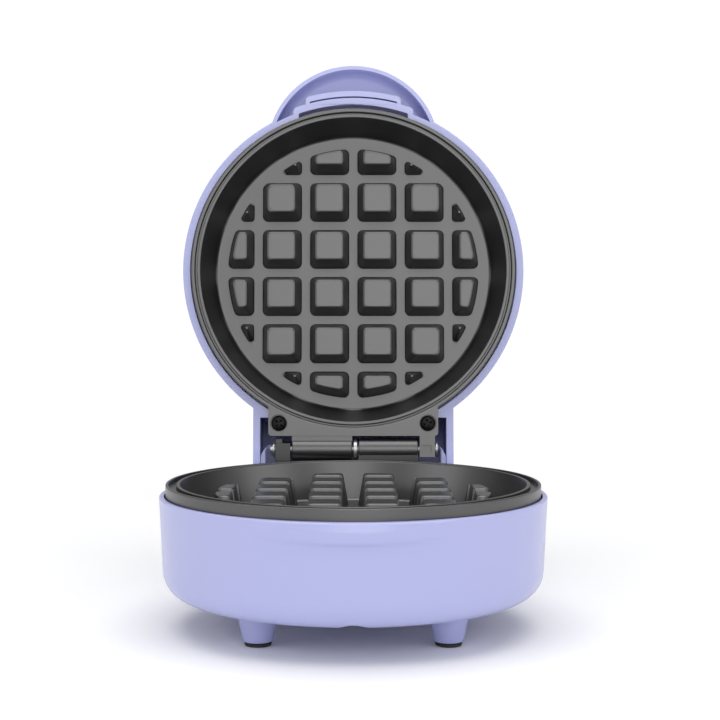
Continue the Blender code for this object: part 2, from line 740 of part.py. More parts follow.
def lower_plate(base):
    """Fixed plate: barrel and lug stand on its web."""
    plate = plate_base(LOWER)
    foot = level(LOWER, LOWER.web_depth + HAIR)
    front, back = HINGE_Y - LEG_REACH, LOWER.web_back
    x0, x1 = LOWER_BARREL
    leg = box("leg", (x0, front, foot), (x1, back, HINGE_Z))
    fuse(plate, leg, along_hinge("barrel", LOWER_BARREL, BARREL_RADIUS))
    x0, x1 = LOWER_LUG
    lug = box("lug", (x0, front, foot), (x1, back, HINGE_Z + LOWER_LUG_HEIGHT))
    tab = box("tab", (x0, HINGE_Y - MM, HINGE_Z), (x0 + 2.4 * MM, HINGE_Y + 2 * MM, HINGE_Z + TAB_HEIGHT))
    fuse(plate, lug, tab)
    carve(plate, pin_hole())
    for side in (-1, 1):
        x = side * EAR_X
        place = (x, LOWER_EAR_Y)
        carve(plate, rod("hole", (*place, 30 * MM), (*place, LOWER_RIM), SCREW_HOLE))
    settle(plate, base, "coated_plate")


def upper_plate(lid):
    """Plate of the lid: its barrel and lug grow out of the web's edge."""
    plate = plate_base(UPPER)
    near, far = UPPER_RIM, level(UPPER, UPPER.web_thickness)
    start = WEB_EDGE - MM
    x0, x1 = UPPER_BARREL
    arm = box("arm", (x0, start, near + HAIR), (x1, HINGE_Y, far))
    fuse(plate, arm, along_hinge("barrel", UPPER_BARREL, BARREL_RADIUS))
    x0, x1 = UPPER_LUG
    lug = box("lug", (x0, start, near), (x1, HINGE_Y + LUG_REACH, HINGE_Z + UPPER_LUG_HEIGHT))
    pocket_low = (x0 + 0.8 * MM, HINGE_Y - 1.5 * MM, near - MM)
    pocket = box("pocket", pocket_low, (x0 + 4.3 * MM, HINGE_Y + 1.2 * MM, near + MM))
    carve(lug, pocket)
    fuse(plate, lug)
    carve(plate, pin_hole())
    for side in (-1, 1):
        place = (side * EAR_X, UPPER_EAR_Y)
        carve(
            plate,
            rod("sink", (*place, near - MM), (*place, near + SINK_DEPTH), SINK_RADIUS, sides=24),
            rod("hole", (*place, near), (*place, near + 2 * UPPER.web_thickness), SCREW_HOLE),
        )
    settle(plate, lid, "coated_plate")


# Hinge parts ----------------------------------------------------------------------------------------


def hinge_parts(base):
    """Pin, the two clips on its ends and the washer between the barrels."""
    settle(along_hinge("hinge_pin", PIN_SPAN, PIN_RADIUS), base, "steel")
    rings = {
        "hinge_clip_left": (LOWER_LUG[0] - GAP - CLIP_THICKNESS, LOWER_LUG[0] - GAP, CLIP_RADIUS),
        "hinge_clip_right": (UPPER_LUG[1] + GAP, UPPER_LUG[1] + GAP + CLIP_THICKNESS, CLIP_RADIUS),
        "hinge_washer": (*WASHER_SPAN, WASHER_RADIUS),
    }
    for name, (start, end, radius) in rings.items():
        ring = along_hinge(name, (start, end), radius, sides=16)
        carve(ring, pin_hole())
        settle(ring, base, "steel")


# Fasteners ------------------------------------------------------------------------------------------


def screw(name, place, head_end, head_start, tip, owner, finish):
    """A vertical screw: its head between two heights, and its shank on to the tip."""
    profile = [
        (0.0, head_end),
        (SCREW_HEAD, head_end),
        (SCREW_HEAD, head_start),
        (SCREW_RADIUS, head_start),
        (SCREW_RADIUS, tip),
        (0.0, tip),
    ]
    settle(turned(name, profile, place, sides=SMALL_ROUND), owner, finish)


def cover_screw_places():
    """Where the bottom cover is screwed to the shell's ledge."""
    on_ledge = COVER_RADIUS - COVER_LEDGE / 2
    on_tongue = TONGUE_BACK - COVER_LEDGE / 2
    return [(-on_ledge, 0.0), (on_ledge, 0.0), (-TONGUE_SCREW_X, on_tongue), (TONGUE_SCREW_X, on_tongue)]


def plate_screws(base, lid):
    """Two screws through the web of each plate into its shell."""
    lower_top = level(LOWER, LOWER.web_depth) + GAP
    for side, word in ((-1, "left"), (1, "right")):
        x = side * EAR_X
        screw(
            f"lower_plate_screw_{word}", (x, LOWER_EAR_Y), lower_top + SCREW_HEAD_HEIGHT, lower_top,
            28 * MM, base, "black_screw",
        )
        screw(
            f"upper_plate_screw_{word}", (x, UPPER_EAR_Y), UPPER_RIM + GAP, UPPER_RIM + SCREW_HEAD_HEIGHT,
            UPPER_RIM + 15 * MM, lid, "black_screw",
        )


def cover_screws(base):
    """Four screws from below through the cover into the shell's ledge."""
    under = BASE_BOTTOM - GAP
    tip = BASE_BOTTOM + BASE_FLOOR - HAIR
    for number, place in enumerate(cover_screw_places(), 1):
        screw(f"cover_screw_{number}", place, under - SCREW_HEAD_HEIGHT, under, tip, base, "steel")


def shield_screws(half, owner):
    """Two screws that hold the heat shield to the bosses of the plate."""
    start = level(half, SHIELD_DEPTH + SHIELD_THICKNESS + GAP)
    end = start + half.sense * 1.4 * MM
    tip = level(half, SHIELD_DEPTH - 4.4 * MM)
    for side, word in ((-1, "left"), (1, "right")):
        place = (side * SHIELD_SCREW_X, 0.0)
        screw(f"{half.name}_shield_screw_{word}", place, end, start, tip, owner, "steel")


# Bottom cover and feet ------------------------------------------------------------------------------


def foot_places():
    """Names and places of the four feet."""
    return {
        "front_left": (-FRONT_FOOT[0], FRONT_FOOT[1]),
        "front_right": FRONT_FOOT,
        "rear_left": (-REAR_FOOT[0], REAR_FOOT[1]),
        "rear_right": REAR_FOOT,
    }


def base_cover(base):
    """Bottom plate with four tapered feet and two bosses for the cord clamp."""
    top = BASE_BOTTOM + COVER_THICKNESS
    cover = prism("base_cover", keyhole(COVER_RADIUS, TONGUE_HALF_WIDTH, TONGUE_BACK), BASE_BOTTOM, top)
    foot_low = PAD_THICKNESS + GAP
    for place in foot_places().values():
        profile = [
            (0.0, foot_low),
            (FOOT_BOTTOM_RADIUS - HAIR, foot_low),
            (FOOT_BOTTOM_RADIUS, foot_low + HAIR),
            (FOOT_TOP_RADIUS, BASE_BOTTOM),
            (FOOT_TOP_RADIUS, BASE_BOTTOM + HAIR),
            (0.0, BASE_BOTTOM + HAIR),
        ]
        fuse(cover, turned("foot", profile, place, sides=14))
        carve(cover, rod("hole", (*place, 0), (*place, foot_low + STUD_LENGTH), STUD_RADIUS + GAP))
    for side in (-1, 1):
        place = (side * CLAMP_SCREW_X, CLAMP_Y)
        fuse(cover, rod("boss", (*place, top - HAIR), (*place, top + CLAMP_BOSS_HEIGHT), 2.9 * MM))
        carve(cover, rod("hole", (*place, top + 2 * MM), (*place, top + 7 * MM), SCREW_HOLE))
    for place in cover_screw_places():
        carve(cover, rod("hole", (*place, 0), (*place, top + MM), SCREW_HOLE))
    settle(cover, base, "lavender_plastic")


def foot_pads(base):
    """Rubber pads that the object stands on, each with a stud up into its foot."""
    for word, place in foot_places().items():
        profile = [
            (0.0, 0.0),
            (FOOT_BOTTOM_RADIUS - 2 * GAP, 0.0),
            (FOOT_BOTTOM_RADIUS - GAP, PAD_THICKNESS),
            (STUD_RADIUS, PAD_THICKNESS),
            (STUD_RADIUS, PAD_THICKNESS + STUD_LENGTH),
            (0.0, PAD_THICKNESS + STUD_LENGTH),
        ]
        settle(turned(f"foot_pad_{word}", profile, place, sides=14), base, "rubber")


# Heating --------------------------------------------------------------------------------------------


def heater(half, owner):
    """Tubular element: most of a ring against the plate's back, its two ends turned to the hinge."""
    height = level(half, BOWL_DEPTH + PLATE_THICKNESS + GAP + HEATER_TUBE)
    ring = [(x, y, height) for x, y in arc((0, 0), HEATER_RADIUS, 112, 428, 22)]
    right, left = Vector(ring[-1]), Vector(ring[0])
    ends_right = [right + Vector((0, 3 * MM, 0)), right + Vector((0, 10 * MM, 0))]
    ends_left = [left + Vector((0, 10 * MM, 0)), left + Vector((0, 3 * MM, 0))]
    settle(tube(f"{half.name}_heater", [*ends_left, *ring, *ends_right], HEATER_TUBE), owner, "element")


def heat_shield(half, owner):
    """Thin steel pan between the element and the shell."""
    far = SHIELD_DEPTH + SHIELD_THICKNESS
    lip = SHIELD_DEPTH - SHIELD_LIP
    profile = [
        (0.0, SHIELD_DEPTH),
        (SHIELD_RADIUS - SHIELD_THICKNESS, SHIELD_DEPTH),
        (SHIELD_RADIUS, lip),
        (SHIELD_RADIUS + SHIELD_THICKNESS, lip),
        (SHIELD_RADIUS, far),
        (0.0, far),
    ]
    pan = turned(f"{half.name}_heat_shield", [(r, level(half, depth)) for r, depth in profile])
    for side in (-1, 1):
        x = side * SHIELD_SCREW_X
        carve(
            pan,
            rod("hole", (x, 0, level(half, SHIELD_DEPTH - MM)), (x, 0, level(half, far + MM)), SCREW_HOLE),
        )
    settle(pan, owner, "shield_steel")


def thermostat(half, owner):
    """Snap disc thermostat on the shield: can, ceramic body and two blade terminals."""
    start = SHIELD_DEPTH + SHIELD_THICKNESS + GAP
    place = (0.0, 22 * MM)
    profile = [(0.0, start), (7 * MM, start), (7 * MM, start + 1.2 * MM), (5.4 * MM, start + 1.2 * MM)]
    profile += [(5.4 * MM, start + 3.6 * MM), (0.0, start + 3.6 * MM)]
    outline = [(radius, level(half, depth)) for radius, depth in profile]
    can = turned(f"{half.name}_thermostat", outline, place, sides=14)
    for side in (-1, 1):
        near, far = sorted((level(half, start + 2 * MM), level(half, start + 2.6 * MM)))
        blade = box(
            "blade",
            (min(side * 4 * MM, side * 10 * MM), place[1] - 2 * MM, near),
            (max(side * 4 * MM, side * 10 * MM), place[1] + 2 * MM, far),
        )
        fuse(can, blade)
    settle(can, owner, "ceramic")


def thermal_fuse(half, owner):
    """Axial thermal fuse beside the thermostat, with its two leads."""
    height = level(half, SHIELD_DEPTH + SHIELD_THICKNESS + GAP + 2.2 * MM)
    y = -18 * MM
    body = rod(f"{half.name}_thermal_fuse", (-6 * MM, y, height), (6 * MM, y, height), 2.0 * MM)
    fuse(body, rod("lead", (-13 * MM, y, height), (13 * MM, y, height), 0.6 * MM, sides=10))
    settle(body, owner, "steel")


# Supply and signal ----------------------------------------------------------------------------------


def turned_about_y(name, profile, height, sides):
    """A ring turned about a line along Y at a height; the outline holds (radius, y) points."""
    ring = turned(name, profile, sides=sides)
    ring.data.transform(Matrix.Rotation(math.radians(-90), 4, "X"))
    ring.data.transform(Matrix.Translation((0, 0, height)))
    return ring


def supply_parts(base):
    """Gland in the tower's back, the clamp inside with its screws, and the terminal block."""
    wall_in, wall_out = TOWER_BACK - TOWER_WALL, TOWER_BACK
    profile = [
        (GLAND_BORE, wall_in - 3 * MM),
        (6.2 * MM, wall_in - 3 * MM),
        (6.2 * MM, wall_in - GAP),
        (4.3 * MM, wall_in - GAP),
        (4.3 * MM, wall_out + GAP),
        (GLAND_FLANGE, wall_out + GAP),
        (5.6 * MM, wall_out + 2.8 * MM),
        (GLAND_BORE, wall_out + 2.8 * MM),
    ]
    settle(turned_about_y("cord_gland", profile, GLAND_Z, 18), base, "rubber")

    low = BASE_BOTTOM + COVER_THICKNESS + CLAMP_BOSS_HEIGHT + GAP
    high = GLAND_Z + 5 * MM
    clamp = box("cord_clamp", (-11 * MM, CLAMP_Y - 3 * MM, low), (11 * MM, CLAMP_Y + 3 * MM, high))
    carve(clamp, rod("bore", (0, CLAMP_Y - 5 * MM, GLAND_Z), (0, CLAMP_Y + 5 * MM, GLAND_Z), GLAND_BORE))
    for side, word in ((-1, "left"), (1, "right")):
        place = (side * CLAMP_SCREW_X, CLAMP_Y)
        carve(clamp, rod("hole", (*place, low - MM), (*place, high + MM), SCREW_HOLE))
        tip = BASE_BOTTOM + COVER_THICKNESS + 2.5 * MM
        screw(f"clamp_screw_{word}", place, high + GAP + 1.4 * MM, high + GAP, tip, base, "steel")
    settle(clamp, base, "ceramic")

    floor = BASE_BOTTOM + COVER_THICKNESS + GAP
    block = box("terminal_block", (-13 * MM, 34 * MM, floor), (13 * MM, 42 * MM, floor + 7.5 * MM))
    pole_z = floor + 3.6 * MM
    for pole in (-1, 0, 1):
        x = pole * 8 * MM
        carve(block, rod("pole", (x, 30 * MM, pole_z), (x, 46 * MM, pole_z), 1.8 * MM, sides=12))
    settle(block, base, "ceramic")


def signal_parts(lid):
    """Red lens in the top of the lid, the neon lamp under it and the sleeved lead to the hinge."""
    place = (0.0, LENS_Y)
    lens_end = LID_TOP - WALL - LENS_DOME
    profile = [
        (0.0, LID_TOP + LENS_DOME),
        (2.4 * MM, LID_TOP + 1.2 * MM),
        (LENS_FLANGE, LID_TOP + GAP),
        (LENS_RADIUS, LID_TOP + GAP),
        (LENS_RADIUS, lens_end),
        (0.0, lens_end),
    ]
    settle(turned("indicator_lens", profile, place, sides=14), lid, "lens")
    lamp_top = lens_end - GAP
    lamp_end = lamp_top - LAMP_LENGTH
    lamp = [(0.0, lamp_top), (LAMP_RADIUS - HAIR, lamp_top - MM), (LAMP_RADIUS, lamp_top - 2 * MM)]
    lamp += [(LAMP_RADIUS, lamp_end), (0.0, lamp_end)]
    settle(turned("indicator_lamp", lamp, place, sides=10), lid, "lamp_glass")
    start = Vector((14 * MM, 20 * MM, 75 * MM))
    bend = Vector((15 * MM, 62 * MM, 79.5 * MM))
    end = Vector((16 * MM, 69 * MM, 58 * MM))
    route = []
    steps = 10
    for step in range(steps + 1):
        t = step / steps
        route.append((1 - t) ** 2 * start + 2 * t * (1 - t) * bend + t**2 * end)
    settle(tube("lid_lead_sleeve", route, SLEEVE_RADIUS), lid, "sleeve")


# The whole ------------------------------------------------------------------------------------------


def centre_over_origin(root):
    """Move the root so that the object's box stands centred over the origin."""
    bpy.context.view_layer.update()
    ends = []
    for piece in bpy.context.scene.objects:
        if piece.type == "MESH":
            ends += [(piece.matrix_world @ corner.co).y for corner in piece.data.vertices]
    root.location.y = -(min(ends) + max(ends)) / 2


def main():
    """Build the waffle maker."""
    for old in list(bpy.data.objects):
        bpy.data.objects.remove(old)
    root = carrier("waffle_maker", Vector((0, 0, 0)), 0.0)
    base = carrier("base_frame", Vector((0, 0, 0)), 0.0, root)
    lid = carrier("lid_hinge", Vector((0, HINGE_Y, HINGE_Z)), -OPEN_ANGLE, root)
    base_shell(base)
    base_cover(base)
    cover_screws(base)
    foot_pads(base)
    lower_plate(base)
    hinge_parts(base)
    supply_parts(base)
    lid_shell(lid)
    upper_plate(lid)
    plate_screws(base, lid)
    signal_parts(lid)
    for half, owner in ((LOWER, base), (UPPER, lid)):
        heater(half, owner)
        heat_shield(half, owner)
        shield_screws(half, owner)
        thermostat(half, owner)
        thermal_fuse(half, owner)
    centre_over_origin(root)


main()
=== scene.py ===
"""Looks of a small round waffle maker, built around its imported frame.

Every shape is made in millimetres in the closed frame: origin on the floor under the drum's axis, +X to
the right, +Y to the hinge, +Z up. ClosedFrame then carries it to its place on the base or on the open lid.
"""

import json
import logging
import math
from dataclasses import dataclass, field
from enum import Enum
from typing import Any, Callable, Optional, Sequence, Union

import bmesh
import bpy
from mathutils import Matrix, Vector

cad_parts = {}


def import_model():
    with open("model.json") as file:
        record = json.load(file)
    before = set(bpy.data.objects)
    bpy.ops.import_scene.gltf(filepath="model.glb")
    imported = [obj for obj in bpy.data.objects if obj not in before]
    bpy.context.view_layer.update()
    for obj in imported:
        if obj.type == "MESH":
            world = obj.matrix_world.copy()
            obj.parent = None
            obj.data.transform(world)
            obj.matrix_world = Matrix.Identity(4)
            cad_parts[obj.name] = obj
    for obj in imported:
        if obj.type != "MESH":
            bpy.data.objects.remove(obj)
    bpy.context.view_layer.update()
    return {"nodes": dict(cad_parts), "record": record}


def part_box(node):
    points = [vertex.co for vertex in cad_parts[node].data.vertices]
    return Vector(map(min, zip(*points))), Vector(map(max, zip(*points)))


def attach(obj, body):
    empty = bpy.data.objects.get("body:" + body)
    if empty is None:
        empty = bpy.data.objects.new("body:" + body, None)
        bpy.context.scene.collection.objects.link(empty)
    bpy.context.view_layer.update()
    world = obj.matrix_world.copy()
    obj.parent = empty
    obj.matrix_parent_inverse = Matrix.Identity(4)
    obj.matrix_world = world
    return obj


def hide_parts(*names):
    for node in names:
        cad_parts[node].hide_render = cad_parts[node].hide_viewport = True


LOG = logging.getLogger("waffle_maker")
MM = 0.001
GAP = 0.3
HAIR = 0.5
WIDE_SIDES = 256
ROUND_SIDES = 96
FOOT_SIDES = 64
SMALL_SIDES = 40
SHARP_ANGLE = math.radians(32)

Colour = tuple[float, float, float]
Place = tuple[float, float]
Outline = list[Place]
Setting = dict[str, Any]


class Body(Enum):
    """The bodies that pieces ride on."""

    BASE = "base"
    LID = "lid"


class Joining(Enum):
    """What a Boolean does with its tool."""

    FUSE = "UNION"
    CARVE = "DIFFERENCE"
    TRIM = "INTERSECT"


# Node trees -----------------------------------------------------------------------------------------


class Value:
    """A number socket; arithmetic on it adds Math nodes to its tree."""

    def __init__(self, graph: "Graph", socket: bpy.types.NodeSocket) -> None:
        """Wrap a socket of a graph."""
        self.graph = graph
        self.socket = socket

    def math(self, operation: str, first: "Term", second: "Term" = 0.0) -> "Value":
        """Add one Math node.

        Args:
            operation: The Math node's operation.
            first: Its first term.
            second: Its second term, if it has one.

        Returns:
            The node's result.
        """
        node = self.graph.node("ShaderNodeMath", {"operation": operation}, {0: first, 1: second})
        return Value(self.graph, node.outputs[0])

    def __add__(self, other: "Term") -> "Value":
        """This plus other."""
        return self.math("ADD", self, other)

    def __radd__(self, other: "Term") -> "Value":
        """Other plus this."""
        return self.math("ADD", other, self)

    def __sub__(self, other: "Term") -> "Value":
        """This minus other."""
        return self.math("SUBTRACT", self, other)

    def __rsub__(self, other: "Term") -> "Value":
        """Other minus this."""
        return self.math("SUBTRACT", other, self)

    def __mul__(self, other: "Term") -> "Value":
        """This times other."""
        return self.math("MULTIPLY", self, other)

    def __rmul__(self, other: "Term") -> "Value":
        """Other times this."""
        return self.math("MULTIPLY", other, self)

    def __pow__(self, power: float) -> "Value":
        """This to a power."""
        return self.math("POWER", self, power)

    def above(self, limit: float, width: float) -> "Value":
        """A soft step from 0 to 1.

        Args:
            limit: Where the step starts.
            width: How far it is spread.

        Returns:
            The stepped value.
        """
        node = self.graph.node(
            "ShaderNodeMapRange",
            {"interpolation_type": "SMOOTHSTEP"},
            {"Value": self, "From Min": limit, "From Max": limit + width},
        )
        return Value(self.graph, node.outputs[0])


Term = Union[Value, float]


class Graph:
    """Adds nodes to a shader or geometry tree."""

    def __init__(self, tree: bpy.types.NodeTree) -> None:
        """Start on an empty tree."""
        self.tree = tree
        self.tree.nodes.clear()

    def node(self, kind: str, settings: Optional[Setting] = None, inputs: Optional[dict] = None) -> Any:
        """Add a node.

        Args:
            kind: The node's type.
            settings: Its properties, which are set first.
            inputs: A value or a link for each named or numbered socket.

        Returns:
            The new node.
        """
        made = self.tree.nodes.new(kind)
        for name, value in (settings or {}).items():
            setattr(made, name, value)
        for key, value in (inputs or {}).items():
            self.feed(self.find(made.inputs, key), value)
        return made

    @staticmethod
    def find(sockets: Any, key: Union[int, str]) -> bpy.types.NodeSocket:
        """Look up one socket.

        Args:
            sockets: The sockets to look through.
            key: Its number, identifier or name.

        Returns:
            The socket.
        """
        if isinstance(key, int):
            return sockets[key]
        for socket in sockets:
            if socket.identifier == key:
                return socket
        return sockets[key]

    def feed(self, socket: bpy.types.NodeSocket, value: Any) -> None:
        """Link or set one input socket.

        Args:
            socket: The input.
            value: A link, a wrapped link, a colour or a plain value.
        """
        if isinstance(value, Value):
            value = value.socket
        if isinstance(value, bpy.types.NodeSocket):
            self.tree.links.new(value, socket)
        elif socket.type == "RGBA" and len(value) == 3:
            socket.default_value = (*value, 1.0)
        else:
            socket.default_value = value

    def mix(self, factor: Term, first: Any, second: Any) -> bpy.types.NodeSocket:
        """Mix two colours.

        Args:
            factor: Share of the second one.
            first: Colour or link under it.
            second: Colour or link over it.

        Returns:
            The mixed colour's socket.
        """
        node = self.node(
            "ShaderNodeMix",
            {"data_type": "RGBA"},
            {"Factor_Float": factor, "A_Color": first, "B_Color": second},
        )
        return self.find(node.outputs, "Result_Color")

    def coordinates(self, stretch: Sequence[float] = (1.0, 1.0, 1.0)) -> bpy.types.NodeSocket:
        """Object coordinates, stretched along the axes."""
        where = self.node("ShaderNodeTexCoord").outputs["Object"]
        return self.node("ShaderNodeMapping", {}, {"Vector": where, "Scale": stretch}).outputs[0]

    def noise(self, scale: float, detail: float = 2.0, stretch: Sequence[float] = (1.0, 1.0, 1.0)) -> Value:
        """Smooth noise over the surface.

        Args:
            scale: Cells to the metre.
            detail: Octaves.
            stretch: Scale along each axis.

        Returns:
            The noise, about 0.5 on average.
        """
        inputs = {"Vector": self.coordinates(stretch), "Scale": scale, "Detail": detail}
        return Value(self, self.node("ShaderNodeTexNoise", {}, inputs).outputs["Fac"])

    def cells(self, scale: float) -> tuple[Value, Value]:
        """Voronoi cells.

        Args:
            scale: Cells to the metre.

        Returns:
            Distance to the cell's middle, and a random number for each cell.
        """
        node = self.node("ShaderNodeTexVoronoi", {}, {"Vector": self.coordinates(), "Scale": scale})
        shade = self.node("ShaderNodeSeparateColor", {}, {"Color": node.outputs["Color"]})
        return Value(self, node.outputs["Distance"]), Value(self, shade.outputs[0])

    def relief(self, height: Value, depth: float, edge: float) -> bpy.types.NodeSocket:
        """Normal of a fine relief over softened edges.

        Args:
            height: The relief, from 0 to 1.
            depth: Its depth in metres.
            edge: Radius that sharp edges seem to have, in metres.

        Returns:
            The normal's socket.
        """
        soft = self.node("ShaderNodeBevel", {"samples": 4}, {"Radius": edge}).outputs[0]
        inputs = {"Strength": 1.0, "Distance": depth, "Height": height, "Normal": soft}
        return self.node("ShaderNodeBump", {}, inputs).outputs[0]

    def crevice(self, reach: float) -> Value:
        """How enclosed the surface is: 0 in the open and 1 deep in a gap, looking as far as reach."""
        node = self.node("ShaderNodeAmbientOcclusion", {"samples": 6}, {"Distance": reach})
        return 1.0 - Value(self, node.outputs["AO"])


# Finishes -------------------------------------------------------------------------------------------


@dataclass(frozen=True)
class Finish:
    """A finish: its name, two tones, gloss and what its own node work adds."""

    name: str
    colour: Colour
    tone: Colour
    roughness: float
    metallic: float = 0.0
    edge: float = 0.35 * MM

    def material(self) -> bpy.types.Material:
        """Make the finish's material, or find it if it is made already.

        Returns:
            The material.
        """
        found = bpy.data.materials.get(self.name)
        if found:
            return found
        made = bpy.data.materials.new(self.name)
        made.use_nodes = True
        made.diffuse_color = (*self.colour, 1.0)
        graph = Graph(made.node_tree)
        shader = graph.node("ShaderNodeBsdfPrincipled", {}, {"Metallic": self.metallic})
        graph.node("ShaderNodeOutputMaterial", {}, {"Surface": shader.outputs[0]})
        for key, value in self.surface(graph).items():
            graph.feed(shader.inputs[key], value)
        return made

    def surface(self, graph: Graph) -> Setting:
        """Values and links for the shader's sockets: a softly clouded, finely grained surface.

        Args:
            graph: The material's node tree.

        Returns:
            Values and links for the shader's sockets.
        """
        cloud, grain = graph.noise(35.0), graph.noise(1400.0, 3.0)
        return {
            "Base Color": graph.mix(cloud, self.colour, self.tone),
            "Roughness": self.roughness + (grain - 0.5) * 0.2,
            "Normal": graph.relief(grain, 0.02 * MM, self.edge),
        }


@dataclass(frozen=True)
class MouldedPlastic(Finish):
    """Satin moulded plastic with faint flow marks, fine scuffs, and painted shade of deep navy where the
    wall is enclosed.
    """

    # Colour of the painted shade in enclosed places.
    deep: Colour = (0.03, 0.03, 0.14)

    def surface(self, graph: Graph) -> Setting:
        """Clouded colour, orange-peel relief, scuffs, and painted shade in a deep tone where the wall is
        enclosed.

        Args:
            graph: The material's node tree.

        Returns:
            Values and links for the shader's sockets.
        """
        cloud = graph.noise(16.0)
        flow = graph.noise(9.0, 3.0, (1.0, 1.0, 7.0))
        peel, grain = graph.noise(240.0), graph.noise(2300.0, 3.0)
        scuff = graph.noise(60.0, 4.0, (1.0, 14.0, 3.0)).above(0.66, 0.08)
        body = graph.mix(cloud * 0.6 + flow * 0.4, self.colour, self.tone)
        # Painted shade: the colour runs to the deep navy where ambient occlusion finds the wall enclosed.
        painted_shade = graph.crevice(9.0 * MM).above(0.58, 0.42)
        return {
            "Base Color": graph.mix(painted_shade * 0.85, body, self.deep),
            "Roughness": self.roughness + (grain - 0.5) * 0.12 + scuff * 0.06,
            "Coat Weight": 0.15 + (cloud - 0.5) * 0.1,
            "Coat Roughness": 0.2,
            "Normal": graph.relief(peel * 0.6 + grain * 0.4, 0.012 * MM, self.edge),
        }


@dataclass(frozen=True)
class CoatedCasting(Finish):
    """Cast aluminium under a speckled release coating."""

    fleck: Colour = (0.42, 0.42, 0.41)
    # Colour of the dark pits, also used for the painted shade in the corners.
    pit_and_shade: Colour = (0.035, 0.035, 0.037)

    def surface(self, graph: Graph) -> Setting:
        """Two sizes of light fleck, dark pits, painted shade in the corners and a grained relief.

        Args:
            graph: The material's node tree.

        Returns:
            Values and links for the shader's sockets.
        """
        cloud = graph.noise(55.0, 3.0)
        grit = graph.noise(2600.0, 3.0)
        near, chance = graph.cells(1500.0)
        fine_near, fine_chance = graph.cells(3300.0)
        flecks = chance.above(0.86, 0.04) * (1.0 - near.above(0.25, 0.3))
        dust = fine_chance.above(0.8, 0.05) * (1.0 - fine_near.above(0.3, 0.3)) * 0.55
        pits = (1.0 - chance.above(0.10, 0.04)) * (1.0 - near.above(0.3, 0.25)) * 0.8
        # Painted shade: corners darken towards the pit colour where ambient occlusion finds them enclosed.
        corner_shade = graph.crevice(3.0 * MM).above(0.45, 0.55) * 0.5
        body = graph.mix(cloud * 0.7 + grit * 0.3, self.colour, self.tone)
        speckled = graph.mix(pits, graph.mix(flecks + dust, body, self.fleck), self.pit_and_shade)
        return {
            "Base Color": graph.mix(corner_shade, speckled, self.pit_and_shade),
            "Roughness": self.roughness + (grit - 0.5) * 0.25 - flecks * 0.12,
            "Normal": graph.relief(grit + flecks * 0.5 - pits * 0.6, 0.05 * MM, self.edge),
        }


@dataclass(frozen=True)
class WorkedMetal(Finish):
    """Turned, drawn or pressed metal, with brushing along X and stains."""

    stain: Colour = (0.2, 0.16, 0.12)
    stain_share: float = 0.25

    def surface(self, graph: Graph) -> Setting:
        """Brushed streaks in gloss and relief, with stains in patches.

        Args:
            graph: The material's node tree.

        Returns:
            Values and links for the shader's sockets.
        """
        streaks = graph.noise(900.0, 3.0, (0.06, 1.0, 1.0))
        patch = graph.noise(130.0, 4.0).above(0.5, 0.25)
        body = graph.mix(streaks, self.colour, self.tone)
        return {
            "Base Color": graph.mix(patch * self.stain_share, body, self.stain),
            "Roughness": self.roughness + (streaks - 0.5) * 0.2 + patch * 0.1,
            "Normal": graph.relief(streaks, 0.008 * MM, self.edge),
        }


@dataclass(frozen=True)
class Rubber(Finish):
    """Matt rubber with bloom and a fine grain."""

    def surface(self, graph: Graph) -> Setting:
        """Grey bloom over black, with a grained relief.

        Args:
            graph: The material's node tree.

        Returns:
            Values and links for the shader's sockets.
        """
        bloom = graph.noise(180.0, 4.0).above(0.52, 0.25)
        grain = graph.noise(2000.0, 3.0)
        return {
            "Base Color": graph.mix(bloom * 0.5, self.colour, self.tone),
            "Roughness": self.roughness + (grain - 0.5) * 0.15,
            "Normal": graph.relief(grain, 0.03 * MM, self.edge),
        }


@dataclass(frozen=True)
class Ceramic(Finish):
    """Heat-proof moulding, off white with dark specks."""

    speck: Colour = (0.3, 0.25, 0.2)

    def surface(self, graph: Graph) -> Setting:
        """Clouded body, sparse specks and a dry relief.

        Args:
            graph: The material's node tree.

        Returns:
            Values and links for the shader's sockets.
        """
        near, chance = graph.cells(900.0)
        specks = chance.above(0.9, 0.03) * (1.0 - near.above(0.15, 0.2))
        cloud, grain = graph.noise(90.0), graph.noise(1600.0, 3.0)
        return {
            "Base Color": graph.mix(specks, graph.mix(cloud, self.colour, self.tone), self.speck),
            "Roughness": self.roughness + (grain - 0.5) * 0.2,
            "Normal": graph.relief(grain, 0.02 * MM, self.edge),
        }


@dataclass(frozen=True)
class ClearPart(Finish):
    """Tinted clear part, such as a lens or a glass capsule."""

    clear: float = 0.6

    def surface(self, graph: Graph) -> Setting:
        """Streaked tint and slightly uneven gloss over clear matter.

        Args:
            graph: The material's node tree.

        Returns:
            Values and links for the shader's sockets.
        """
        streak = graph.noise(220.0, 2.0)
        return {
            "Base Color": graph.mix(streak, self.colour, self.tone),
            "Roughness": self.roughness + (streak - 0.5) * 0.08,
            "Transmission Weight": self.clear,
            "IOR": 1.49,
            "Normal": graph.relief(streak, 0.01 * MM, self.edge),
        }


@dataclass(frozen=True)
class Braid(Finish):
    """Braided glass-fibre sleeve."""

    def surface(self, graph: Graph) -> Setting:
        """Two crossing sets of strands.

        Args:
            graph: The material's node tree.

        Returns:
            Values and links for the shader's sockets.
        """
        strands = []
        for turn in (0.8, -0.8):
            place = graph.node(
                "ShaderNodeMapping",
                {},
                {"Vector": graph.coordinates(), "Rotation": (turn, 0.0, turn)},
            )
            wave = graph.node("ShaderNodeTexWave", {}, {"Vector": place.outputs[0], "Scale": 420.0})
            strands.append(Value(graph, wave.outputs["Fac"]))
        weave = strands[0] * 0.5 + strands[1] * 0.5
        return {
            "Base Color": graph.mix(weave, self.tone, self.colour),
            "Roughness": self.roughness + (weave - 0.5) * 0.1,
            "Normal": graph.relief(weave, 0.12 * MM, self.edge),
        }


